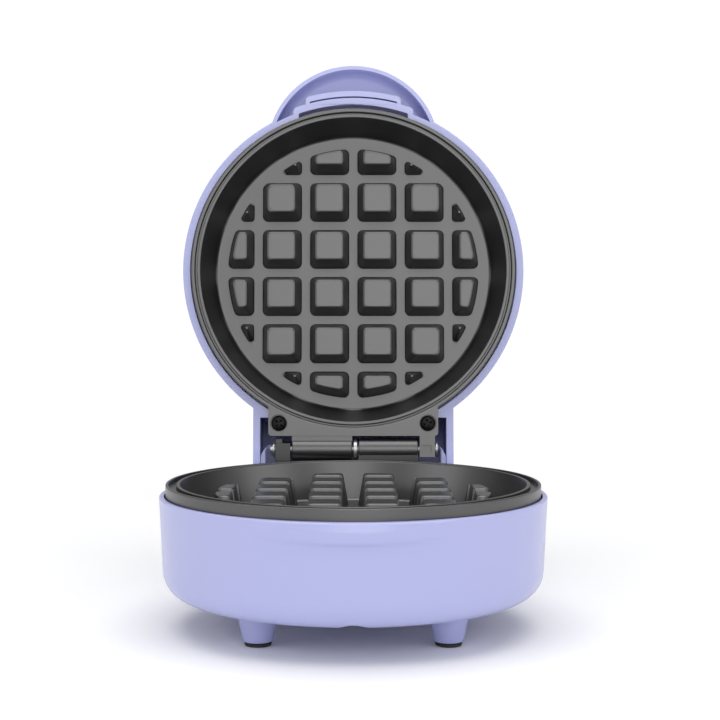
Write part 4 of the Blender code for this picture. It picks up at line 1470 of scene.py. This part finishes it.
@dataclass
class Fasteners(Assembly):
    """Screws of one body, each kind set out by one layout."""

    drum: DrumSizes = DrumSizes()
    screws: ScrewSizes = ScrewSizes()
    cover: CoverSizes = CoverSizes()
    lower_seat: float = 43.6
    upper_seat: float = 48.9

    def set_out(
        self,
        name: str,
        shape: ScrewShape,
        places: Sequence[Place],
        seat: float,
        down: bool,
        slot: str,
        nodes: Sequence[str],
    ) -> None:
        """Set one kind of screw in its places.

        Args:
            name: The piece's name.
            shape: The kind of screw.
            places: Where each stands.
            seat: Height of the face under the heads.
            down: Whether the heads look down.
            slot: The finish's slot.
            nodes: Frame nodes that they stand for.
        """
        screw = shape.build()
        if down:
            laid(screw, 180.0, "X", (0.0, 0.0, 0.0))
        finish = self.finishes.by_slot[slot].material()
        settings = {"Part": screw, "Material": finish, "Seed": len(places) + len(name)}
        points = [(*place, seat) for place in places]
        self.settle(TurnedLayout().run(name, points, settings), slot, *nodes)

    def build(self) -> None:
        """Set out the screws of this body."""
        sides = ("left", "right")
        if self.body is Body.BASE:
            ears = [(side * self.screws.ear_x, self.screws.lower_ear_y) for side in (-1, 1)]
            names = [f"lower_plate_screw_{side}" for side in sides]
            shape = ScrewShape(length=15.0)
            self.set_out("lower_plate_screws", shape, ears, self.lower_seat, False, "black_screw", names)
            under = self.drum.bottom - GAP
            names = [f"cover_screw_{number}" for number in range(1, 5)]
            places = self.cover.screw_places()
            self.set_out("cover_screws", ScrewShape(length=4.2), places, under, True, "steel", names)
        else:
            ears = [(side * self.screws.ear_x, self.screws.upper_ear_y) for side in (-1, 1)]
            names = [f"upper_plate_screw_{side}" for side in sides]
            shape = ScrewShape(head_height=1.3, length=13.0)
            self.set_out("upper_plate_screws", shape, ears, self.upper_seat, True, "black_screw", names)


# Cooking plates -------------------------------------------------------------------------------------


@dataclass(frozen=True)
class PegSizes:
    """The waffle grid's pegs."""

    pitch: float = 17.77
    count: int = 6
    base: float = 14.3
    top: float = 10.5
    height: float = 10.9
    corner: float = 1.9
    edge: float = 0.9
    foot: float = 0.35
    whole_reach: float = 30.0
    cut_reach: float = 55.0
    clip_base: float = 46.8
    soft_corner: float = 0.55

    def side_profile(self) -> Outline:
        """Draw a peg's side, from under the floor to its top.

        Returns:
            The (inset, height) points.
        """
        lean = (self.base - self.top) / 2
        corners = [
            (-self.foot - 0.2, -0.6),
            (-self.foot - 0.2, 0.0),
            (0.0, 0.0, self.foot),
            (lean, self.height, self.edge),
            (lean + 3.0, self.height),
        ]
        return rounded(corners, steps=6)

    def ring(self, inset: float, height: float) -> list[tuple[float, float, float]]:
        """A loop round the peg.

        Args:
            inset: How far it is drawn in.
            height: Its height over the floor.

        Returns:
            The loop's points.
        """
        half, corner = self.base / 2 - inset, max(0.3, self.corner - inset * 0.25)
        square = [(half, -half, corner), (half, half, corner), (-half, half, corner), (-half, -half, corner)]
        return [(x, y, height) for x, y in rounded(square, closed=True, steps=5)]

    def peg(self) -> bpy.types.Object:
        """One whole peg about the origin, its foot flared into the floor."""
        return lofted("peg", [self.ring(inset, height) for inset, height in self.side_profile()])

    def cut_outline(self, place: Place, inset: float) -> Outline:
        """Square of a peg, trimmed by the grid's circle.

        Args:
            place: Middle of the square.
            inset: How far the outline is drawn in.

        Returns:
            The trimmed square, empty where nothing is left.
        """
        half = self.base / 2 - inset
        if half <= 0.0:
            return []
        corners = ((-1, -1), (1, -1), (1, 1), (-1, 1))
        outline = [(place[0] + a * half, place[1] + b * half) for a, b in corners]
        towards = round(math.degrees(math.atan2(place[1], place[0])) / 3.0)
        for step in range(towards - 10, towards + 11):
            spoke = math.radians(3.0 * step)
            outline = clipped(outline, (math.cos(spoke), math.sin(spoke)), self.clip_base - inset)
        return outline

    def cut_loop(self, place: Place, inset: float, corner: float) -> Optional[Outline]:
        """Rounded loop round a trimmed peg.

        Args:
            place: Middle of the peg's square.
            inset: How far the loop is drawn in.
            corner: Radius of its corners.

        Returns:
            The loop's points, or None where the peg has tapered to nothing.
        """
        core = self.cut_outline(place, inset + corner)
        if len(core) < 3:
            return None
        loop = []
        for angle in (math.radians(5.0 * step + 2.5) for step in range(72)):
            way = (math.cos(angle), math.sin(angle))
            far = max(core, key=lambda point: point[0] * way[0] + point[1] * way[1])
            loop.append((far[0] + corner * way[0], far[1] + corner * way[1]))
        return loop

    def cut_peg(self, place: Place) -> list[list[tuple[float, float, float]]]:
        """Work out one trimmed peg, up to its top or to where it tapers off.

        Args:
            place: Middle of its square.

        Returns:
            Its loops, from the foot up.
        """
        room = next(step * 0.1 for step in range(99) if len(self.cut_outline(place, step * 0.1)) < 3)
        loops = []
        for inset, height in stepped(self.side_profile(), 0.4):
            corner = min(self.corner, self.soft_corner * room)
            corner = max(0.25, min(corner, (room - inset) * self.soft_corner))
            loop = self.cut_loop(place, inset, corner)
            if loop is None:
                break
            loops.append([(x, y, height) for x, y in loop])
        return loops

    def cut_pegs(self) -> bpy.types.Object:
        """Build the pegs that the grid's circle cuts.

        Returns:
            All of them in one piece.
        """
        middles = [(step - (self.count - 1) / 2) * self.pitch for step in range(self.count)]
        places = [(x, y) for x in middles for y in middles]
        cut = [place for place in places if self.whole_reach < math.hypot(*place) < self.cut_reach]
        return lofted("cut_pegs", *[self.cut_peg(place) for place in cut])


@dataclass(frozen=True)
class HingeSizes:
    """The hinge: its axis, its bars, and the spans along X of what turns on it."""

    y: float = 66.3
    z: float = 50.3
    barrel_radius: float = 4.0
    bore: float = 1.65
    pin_radius: float = 1.5
    lower_barrel: Place = (1.9, 23.6)
    upper_barrel: Place = (-22.4, -0.4)
    lower_lug: Place = (-28.4, -23.0)
    upper_lug: Place = (24.2, 29.8)
    tab: Place = (-28.4, -26.0)
    pocket: Place = (25.0, 28.5)
    front_reach: float = 3.6
    lug_reach: float = 2.8

    def bar(self, name: str, span: Place, radius: float, chamfer: float = 0.3) -> bpy.types.Object:
        """A round bar on the hinge axis with chamfered ends.

        Args:
            name: The piece's name.
            span: Where it starts and ends along the axis.
            radius: Its radius.
            chamfer: Width of the chamfers.

        Returns:
            The bar.
        """
        profile = [
            (0.0, span[0]),
            (radius - chamfer, span[0]),
            (radius, span[0] + chamfer),
            (radius, span[1] - chamfer),
            (radius - chamfer, span[1]),
            (0.0, span[1]),
        ]
        return laid(turned(name, profile, sides=ROUND_SIDES), 90.0, "Y", (0.0, self.y, self.z))

    def bored(self, piece: bpy.types.Object) -> bpy.types.Object:
        """Bore a piece for the pin, all the way through."""
        return carve(piece, self.bar("bore", (-45.0, 45.0), self.bore, 0.0))


@dataclass
class CookingPlate(Assembly):
    """One cooking plate: bowl, pegs, web, and its share of the hinge."""

    name: str = "lower"
    rim: float = 47.0
    way: float = -1.0
    ring: float = 60.9
    ring_width: float = 1.1
    web_near: float = 43.3
    web_far: float = 40.7
    web_back: float = 69.9
    pegs: PegSizes = PegSizes()
    hinge: HingeSizes = HingeSizes()
    screws: ScrewSizes = ScrewSizes()
    bowl_depth: float = 13.5
    bowl_floor: float = 51.6
    crest: float = 56.3
    crest_width: float = 1.1
    groove: float = 1.6
    skirt: float = 6.0
    skirt_wall: float = 1.7
    thickness: float = 2.4
    web_half: float = 31.0
    shield_depth: float = 23.6
    screw_depth: float = 5.0
    sink_radius: float = 3.2
    sink_depth: float = 1.9

    def level(self, depth: float) -> float:
        """Height of a plane that lies depth below the plate's rim."""
        return self.rim + self.way * depth

    def bowl(self) -> bpy.types.Object:
        """Build the turned bowl with its crest, groove, ring and skirt.

        Returns:
            The bowl.
        """
        groove_out = self.ring - self.ring_width
        crest_out = self.crest + self.crest_width
        under = self.groove + self.thickness
        corners = [
            (0.0, self.bowl_depth),
            (self.bowl_floor, self.bowl_depth, 1.4),
            (self.crest, 0.0, 0.4),
            (crest_out, 0.0, 0.25),
            (crest_out, self.groove, 0.2),
            (groove_out, self.groove, 0.2),
            (groove_out + 0.1, 0.0, 0.3),
            (self.ring, 0.0, 0.35),
            (self.ring, self.skirt, 0.3),
            (self.ring - self.skirt_wall, self.skirt, 0.3),
            (self.ring - self.skirt_wall, under),
            (self.crest + 0.2, under, 0.8),
            (self.bowl_floor + self.thickness, self.bowl_depth + self.thickness, 1.5),
            (0.0, self.bowl_depth + self.thickness),
        ]
        profile = [(radius, self.level(depth)) for radius, depth in rounded(corners, steps=5)]
        return turned(f"{self.name}_plate_piece", profile, sides=WIDE_SIDES)

    def peg_field(self) -> list[bpy.types.Object]:
        """Set the pegs on the bowl's floor.

        Returns:
            The whole pegs, and those that the grid's circle cuts.
        """
        shape = self.pegs
        coat = self.finishes.by_slot["coated_plate"].material()
        settings = {"Count": shape.count, "Pitch": shape.pitch, "Most Reach": shape.whole_reach}
        settings |= {"Part": shape.peg(), "Material": coat}
        fields = [PegLayout().run("whole_pegs", [(0.0, 0.0, 0.0)], settings), shape.cut_pegs()]
        for pegs in fields:
            laid(pegs, 180.0 if self.way > 0 else 0.0, "X", (0.0, 0.0, self.level(self.bowl_depth)))
        return fields

    def web(self) -> bpy.types.Object:
        """Build the flat web from the ring to the hinge.

        Returns:
            The web.
        """
        low, high = sorted((self.web_near, self.web_far))
        half = self.web_half
        plan = [(-half, 44.0), (half, 44.0), (half, self.web_back, 1.2), (-half, self.web_back, 1.2)]
        web = prism("web", rounded(plan, closed=True), low, high)
        return carve(web, rod("core", (0.0, 0.0), low - 1.0, high + 1.0, self.ring - 0.8, WIDE_SIDES))

    def body_with_web(self) -> bpy.types.Object:
        """Join the bowl, the web and the bosses for the heat shield.

        Returns:
            The plate without its pegs and its hinge.
        """
        plate = fuse(self.bowl(), self.web())
        foot = self.level(self.bowl_depth + self.thickness - HAIR)
        start, end = sorted((foot, self.level(self.shield_depth - GAP)))
        for side in (-1, 1):
            place = (side * self.screws.shield_x, 0.0)
            fuse(plate, rod("boss", place, start, end, self.screws.boss))
            mouth = self.level(self.shield_depth)
            low, high = sorted((mouth, self.level(self.shield_depth - self.screw_depth)))
            carve(plate, rod("hole", place, low, high, self.screws.bore))
        return plate

    def lower_hinge(self, plate: bpy.types.Object) -> None:
        """Stand the barrel, the lug and its tab on the lower plate's web.

        Args:
            plate: The lower plate.
        """
        hinge = self.hinge
        front, back, foot = hinge.y - hinge.front_reach, self.web_back, self.web_near - HAIR
        left, right = hinge.lower_barrel
        leg = block("leg", (left, front, foot), (right, back, hinge.z))
        left, right = hinge.lower_lug
        lug = block("lug", (left, front, foot), (right, back, hinge.z + 2.6))
        left, right = hinge.tab
        tab = block("tab", (left, hinge.y - 1.0, hinge.z), (right, hinge.y + 2.0, hinge.z + 3.9))
        fuse(plate, leg, hinge.bar("barrel", hinge.lower_barrel, hinge.barrel_radius), lug, tab)
        for side in (-1, 1):
            place = (side * self.screws.ear_x, self.screws.lower_ear_y)
            carve(plate, rod("hole", place, 30.0, self.rim, self.screws.bore))

    def upper_hinge(self, plate: bpy.types.Object) -> None:
        """Grow the arm, the barrel and the pocketed lug out of the upper plate's web.

        Args:
            plate: The upper plate.
        """
        hinge = self.hinge
        start = self.web_back - 1.0
        left, right = hinge.upper_barrel
        arm = block("arm", (left, start, self.rim + HAIR), (right, hinge.y, self.web_far))
        left, right = hinge.upper_lug
        lug = block("lug", (left, start, self.rim), (right, hinge.y + hinge.lug_reach, hinge.z + 3.0))
        left, right = hinge.pocket
        low, high = (left, hinge.y - 1.5, self.rim - 1.0), (right, hinge.y + 1.2, self.rim + 1.0)
        carve(lug, block("pocket", low, high))
        fuse(plate, arm, hinge.bar("barrel", hinge.upper_barrel, hinge.barrel_radius), lug)
        for side in (-1, 1):
            place = (side * self.screws.ear_x, self.screws.upper_ear_y)
            floor = self.rim + self.sink_depth
            sink = rod("sink", place, self.rim - 1.0, floor, self.sink_radius, ROUND_SIDES)
            carve(plate, sink, rod("hole", place, self.rim, self.rim + 6.4, self.screws.bore))

    def build(self) -> None:
        """Build the plate, and hang it on its body."""
        plate = self.body_with_web()
        if self.way < 0:
            self.lower_hinge(plate)
        else:
            self.upper_hinge(plate)
        fuse(self.hinge.bored(plate), *self.peg_field())
        self.settle(plate, "coated_plate", f"{self.name}_plate")


@dataclass
class HingePin(Assembly):
    """The pin through the barrels, its clips and the washer between them."""

    hinge: HingeSizes = HingeSizes()
    pin: Place = (-30.6, 31.2)
    left_clip: Place = (-29.4, -28.7)
    right_clip: Place = (30.1, 30.8)
    washer: Place = (0.1, 1.4)
    clip_radius: float = 2.7
    washer_radius: float = 3.7

    def ring(self, name: str, span: Place, radius: float) -> None:
        """Set a bored ring on the pin.

        Args:
            name: The frame node that it stands for.
            span: Where it starts and ends along the axis.
            radius: Its outer radius.
        """
        piece = self.hinge.bored(self.hinge.bar(f"{name}_piece", span, radius, 0.12))
        self.settle(piece, "steel", name)

    def build(self) -> None:
        """Build the pin, the clips and the washer."""
        pin = self.hinge.bar("hinge_pin_piece", self.pin, self.hinge.pin_radius, 0.4)
        self.settle(pin, "steel", "hinge_pin")
        self.ring("hinge_clip_left", self.left_clip, self.clip_radius)
        self.ring("hinge_clip_right", self.right_clip, self.clip_radius)
        self.ring("hinge_washer", self.washer, self.washer_radius)


# Lid ------------------------------------------------------------------------------------------------


@dataclass
class LidHousing(Assembly):
    """Lavender drum of the lid with its scooped handle and the hood over the hinge."""

    drum: DrumSizes = DrumSizes()
    screws: ScrewSizes = ScrewSizes()
    lip_radius: float = 60.2
    handle_radius: float = 32.0
    handle_y: float = -44.6
    handle_depth: float = 10.0
    handle_wall: float = 1.5
    handle_skin: float = 2.0
    handle_round: float = 2.6
    pocket_wall: float = 62.2
    bump_half: float = 22.3
    bump: Place = (61.9, 64.4)
    bump_depth: float = 6.0
    rib_half: float = 17.7
    rib: Place = (65.0, 67.0)
    hood_half: float = 36.8
    hood_wall: float = 2.6
    hood_back: float = 76.1
    hood_shoulder: float = 66.0
    hood_slope: float = 52.0
    hood_back_edge: float = 58.3
    hood_inner_front: float = 54.6
    boss_start: float = 50.8
    lens_y: float = -30.0
    lens_hole: float = 3.3

    def crescent(self, name: str, profile: Outline, inner_radius: float) -> bpy.types.Object:
        """The part of a disc about the handle's middle that stands outside the drum's circle.

        Args:
            name: The piece's name.
            profile: (radius, height) points of the disc.
            inner_radius: Radius about the drum's axis that is cut away.

        Returns:
            The piece.
        """
        disc = turned(name, profile, (0.0, self.handle_y), WIDE_SIDES)
        low, high = profile[0][1] - 1.0, profile[-1][1] + 1.0
        return carve(disc, rod("core", (0.0, 0.0), low, high, inner_radius, WIDE_SIDES))

    @staticmethod
    def arc_block(
        name: str, span: Place, half: float, low: float, high: float, corner: float
    ) -> bpy.types.Object:
        """A stretch of round wall at the front with rounded outer corners.

        Args:
            name: Its name.
            span: Inner and outer radius.
            half: Half its width.
            low: Its lower height.
            high: Its upper height.
            corner: Radius of the corners that look outwards.

        Returns:
            The piece.
        """
        inner, outer = span
        turn = math.degrees(math.asin((half - corner) / (outer - corner)))
        hub = outer - corner
        right = (hub * math.sin(math.radians(turn)), -hub * math.cos(math.radians(turn)))
        outline = arc((-right[0], right[1]), corner, 180.0, 270 - turn, 6)
        outline += arc((0.0, 0.0), outer, 270 - turn, 270 + turn, 48)[1:-1]
        outline += arc(right, corner, 270 + turn, 360, 6)
        spread = math.degrees(math.asin(half / inner))
        outline += arc((0.0, 0.0), inner, 270 + spread, 270 - spread, 48)
        return prism(name, outline, low, high)

    def handle(self, shell: bpy.types.Object) -> None:
        """Add the scooped handle, the bumped-out rim and the slotted rib inside it.

        Args:
            shell: The lid's drum.
        """
        low, high = self.drum.lid_edge, self.drum.lid_edge + self.handle_depth
        outside = [
            (0.0, low),
            (self.handle_radius, low, 0.45),
            (self.handle_radius, high, self.handle_round),
            (0.0, high),
        ]
        fuse(shell, self.crescent("handle", rounded(outside, steps=10), self.drum.radius - 1.6))
        inner, floor = self.handle_radius - self.handle_wall, high - self.handle_skin
        pocket = rounded([(0.0, low - 1.0), (inner, low - 1.0), (inner, floor, 2.6), (0.0, floor)], steps=10)
        carve(shell, self.crescent("pocket", pocket, self.pocket_wall))
        top = floor + HAIR
        corner = 1.6
        fuse(
            shell,
            self.arc_block("bump", (59.9, self.bump[1]), self.bump_half, low, top, corner),
            self.arc_block("rib", (self.bump[1] - HAIR, self.rib[1]), self.rib_half, low, top, corner),
        )
        end = low + self.bump_depth
        carve(
            shell,
            self.arc_block("behind", (59.6, self.bump[0]), self.bump_half - 2.0, low - 1.0, end, HAIR),
            self.arc_block("slot", (self.bump[1], self.rib[0]), self.rib_half - 1.5, low - 1.0, end, 0.3),
        )

    def hood_outline(self, inset: float, front: float) -> Outline:
        """Side outline of the hood.

        Args:
            inset: How far it is drawn in.
            front: Where it starts in front.

        Returns:
            The (y, z) points.
        """
        back = self.hood_back - inset
        edge, high = self.drum.lid_edge, self.drum.top - 4.0 - inset
        shoulder = self.hood_shoulder - inset / 2
        corners = [(front, edge), (back, edge), (back, shoulder, 4.0 - inset / 2)]
        if front < self.hood_slope:
            corners += [(self.hood_slope, high, 4.0), (front, high)]
        else:
            rise = (high - shoulder) / (back - self.hood_slope)
            corners.append((front, high - (front - self.hood_slope) * rise))
        return rounded(corners, closed=True, steps=8)

    def inner_room(self) -> bpy.types.Object:
        """Build the room inside the lid's drum, a little larger than the drum's inner side.

        Returns:
            The room as a solid.
        """
        radius, top = self.drum.end_radius - self.drum.wall + HAIR, self.drum.top - self.drum.wall + HAIR
        corners = [(0.0, self.drum.lid_edge - 1.0), (radius + 1.0, self.drum.lid_edge - 1.0)]
        corners += [(radius, top, self.drum.corner - self.drum.wall), (0.0, top)]
        return turned("inside", rounded(corners, steps=8), sides=WIDE_SIDES)

    def build(self) -> None:
        """Build the lid's shell."""
        edge, top = self.drum.lid_edge, self.drum.top
        profile = self.drum.profile(edge, top, self.lip_radius, self.drum.wall)
        shell = turned("lid_shell_piece", profile, sides=WIDE_SIDES)
        hood = side_prism("hood", self.hood_outline(0.0, 42.0), self.hood_half)
        fuse(shell, carve(hood, self.inner_room()))
        self.handle(shell)
        inner_x, back = self.hood_half - self.hood_wall, self.hood_back - self.hood_wall
        room = side_prism("room", self.hood_outline(self.hood_wall, self.hood_inner_front), inner_x)
        below = block("below", (-inner_x, self.hood_inner_front, edge - 1.0), (inner_x, back, edge + 1.0))
        mouth = block(
            "mouth",
            (-inner_x, back - self.hood_wall, edge - 1.0),
            (inner_x, self.hood_back + 1.0, self.hood_back_edge),
        )
        carve(shell, room, below, mouth)
        for side in (-1, 1):
            place = (side * self.screws.ear_x, self.screws.upper_ear_y)
            fuse(shell, rod("boss", place, self.boss_start, top - 8.0, self.screws.boss))
            carve(shell, rod("hole", place, self.boss_start - 1.0, self.boss_start + 13.0, self.screws.bore))
        carve(shell, rod("lens_hole", (0.0, self.lens_y), top - 4.0, top + 2.0, self.lens_hole, ROUND_SIDES))
        self.settle(shell, "lavender_plastic", "lid_shell")
        self.lens()

    def lens(self) -> None:
        """Build the domed signal lens in the lid's top."""
        top = self.drum.top
        dome = arc((0.0, top - 3.9), 5.3, 90.0, 50.0, 10)[1:]
        profile = [(0.0, top + 1.4), *dome]
        profile += [(3.8, top + GAP), (3.0, top + GAP), (3.0, top - 3.4), (0.0, top - 3.4)]
        lens = turned("indicator_lens_piece", profile, (0.0, self.lens_y), ROUND_SIDES)
        self.settle(lens, "lens", "indicator_lens")


# Supply entry and inner parts -----------------------------------------------------------------------


@dataclass
class CordGland(Assembly):
    """Rubber gland in the tower's back, ribbed outside."""

    wall_in: float = 70.7
    wall_out: float = 72.3
    height: float = 22.5
    bore: float = 3.2

    def build(self) -> None:
        """Build the gland."""
        out = self.wall_out + GAP
        corners = [
            (self.bore, self.wall_in - 3.0),
            (6.2, self.wall_in - 3.0, 0.4),
            (6.2, self.wall_in - GAP),
            (4.3, self.wall_in - GAP),
            (4.3, out),
            (6.4, out, 0.3),
            (6.1, out + 1.0, 0.2),
            (5.5, out + 1.1),
            (5.5, out + 1.5),
            (5.9, out + 1.6, 0.2),
            (5.6, out + 2.5, 0.4),
            (self.bore, out + 2.5, 0.4),
        ]
        ring = turned("cord_gland_piece", rounded(corners, closed=True, steps=4), sides=ROUND_SIDES)
        laid(ring, -90.0, "X", (0.0, 0.0, self.height))
        self.settle(ring, "rubber", "cord_gland")


@dataclass
class InnerParts:
    """Frame nodes that stay as they are inside the shells, and get their finishes here."""

    finishes: Finishes
    record: dict
    nodes: dict[str, bpy.types.Object]

    def dress(self) -> None:
        """Give each node that still shows the finish of its slot."""
        for part in self.record["subparts"]:
            node = self.nodes[part["node"]]
            if node.hide_render:
                continue
            node.data.materials.clear()
            node.data.materials.append(self.finishes.by_slot[part["material_slot"]].material())
            LOG.info("%s keeps its shape, in %s", node.name, part["material_slot"])


# Studio ---------------------------------------------------------------------------------------------


@dataclass(frozen=True)
class Softbox:
    """A square area light: its name, place, aim, size and power."""

    name: str
    place: tuple[float, float, float]
    aim: tuple[float, float, float]
    size: float
    power: float


@dataclass
class Studio:
    """Pale floor, soft light and the camera."""

    frame: ClosedFrame
    camera_y: float = -529.6
    camera_z: float = 115.8
    pitch: float = 3.14
    lens: float = 81.67
    shift: float = 0.0093
    sky: float = 0.45
    paper_radius: float = 0.2
    paper_fade: float = 0.35
    boxes: tuple[Softbox, ...] = (
        Softbox("front_box", (0.1, -1.4, 0.5), (0.0, 0.0, 0.09), 0.9, 4.8),
        Softbox("top_box", (0.0, -0.1, 1.3), (0.0, 0.0, 0.0), 1.4, 13.0),
        Softbox("left_box", (-1.2, -0.5, 0.6), (0.0, 0.0, 0.07), 0.8, 2.4),
        Softbox("right_box", (1.2, -0.5, 0.6), (0.0, 0.0, 0.07), 0.8, 2.4),
    )

    def floor(self) -> None:
        """Lay the floor."""
        bm = bmesh.new()
        bmesh.ops.create_grid(bm, x_segments=8, y_segments=8, size=12.0)
        floor = make_piece("studio_floor", bm)
        made = bpy.data.materials.new("pale_paper")
        made.use_nodes = True
        graph = Graph(made.node_tree)
        grain = graph.noise(300.0, 2.0)
        paper = graph.mix(grain, (0.93, 0.93, 0.935), (0.95, 0.95, 0.95))
        sheen = {"Base Color": paper, "Roughness": 0.9, "Specular IOR Level": 0.1}
        shader = graph.node("ShaderNodeBsdfPrincipled", {}, sheen)
        bright = graph.node("ShaderNodeEmission", {}, {"Strength": 1.05})
        away = graph.node("ShaderNodeVectorMath", {"operation": "LENGTH"}, {0: graph.coordinates()})
        share = Value(graph, away.outputs["Value"]).above(self.paper_radius, self.paper_fade)
        blend = graph.node("ShaderNodeMixShader", {}, {0: share, 1: shader.outputs[0], 2: bright.outputs[0]})
        graph.node("ShaderNodeOutputMaterial", {}, {"Surface": blend.outputs[0]})
        floor.data.materials.append(made)

    def light(self) -> None:
        """Hang the soft boxes and light the room."""
        for spec in self.boxes:
            data = bpy.data.lights.new(spec.name, "AREA")
            data.size = spec.size
            data.energy = spec.power
            lamp = bpy.data.objects.new(spec.name, data)
            bpy.context.scene.collection.objects.link(lamp)
            lamp.location = spec.place
            aim = Vector(spec.aim) - Vector(spec.place)
            lamp.rotation_euler = aim.to_track_quat("-Z", "Y").to_euler()
        room = bpy.data.worlds.new("studio_room")
        room.use_nodes = True
        graph = Graph(room.node_tree)
        seen = Value(graph, graph.node("ShaderNodeLightPath").outputs["Is Camera Ray"])
        strength = self.sky + seen * (1.05 - self.sky)
        glow = graph.node("ShaderNodeBackground", {}, {"Color": (1.0, 1.0, 1.0), "Strength": strength})
        graph.node("ShaderNodeOutputWorld", {}, {"Surface": glow.outputs[0]})
        bpy.context.scene.world = room

    def camera(self) -> None:
        """Stand the camera in front of the drum, looking slightly down."""
        data = bpy.data.cameras.new("studio_camera")
        data.sensor_width = 36.0
        data.lens = self.lens
        data.shift_x = self.shift
        camera = bpy.data.objects.new("studio_camera", data)
        bpy.context.scene.collection.objects.link(camera)
        camera.location = (0.0, (self.camera_y + self.frame.axis_y) * MM, self.camera_z * MM)
        camera.rotation_euler = (math.radians(90.0 - self.pitch), 0.0, 0.0)
        bpy.context.scene.camera = camera

    def build(self) -> None:
        """Set up the studio."""
        self.floor()
        self.light()
        self.camera()
        bpy.context.scene.view_settings.view_transform = "Standard"


# The whole ------------------------------------------------------------------------------------------


def main() -> None:
    """Build the looks of the waffle maker around its frame."""
    logging.basicConfig(level=logging.INFO, format="%(name)s: %(message)s")
    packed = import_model()
    frame = ClosedFrame.from_record(packed["record"])
    finishes = Finishes()
    BaseHousing(frame, finishes).shell()
    Underside(frame, finishes).build()
    CookingPlate(frame, finishes).build()
    HingePin(frame, finishes).build()
    CordGland(frame, finishes).build()
    LidHousing(frame, finishes, Body.LID).build()
    CookingPlate(
        frame,
        finishes,
        Body.LID,
        name="upper",
        rim=47.3,
        way=1.0,
        ring=59.6,
        ring_width=1.4,
        web_near=47.3,
        web_far=50.5,
        web_back=61.4,
    ).build()
    Fasteners(frame, finishes).build()
    Fasteners(frame, finishes, Body.LID).build()
    InnerParts(finishes, packed["record"], packed["nodes"]).dress()
    Studio(frame).build()


if __name__ == "__main__":
    main()
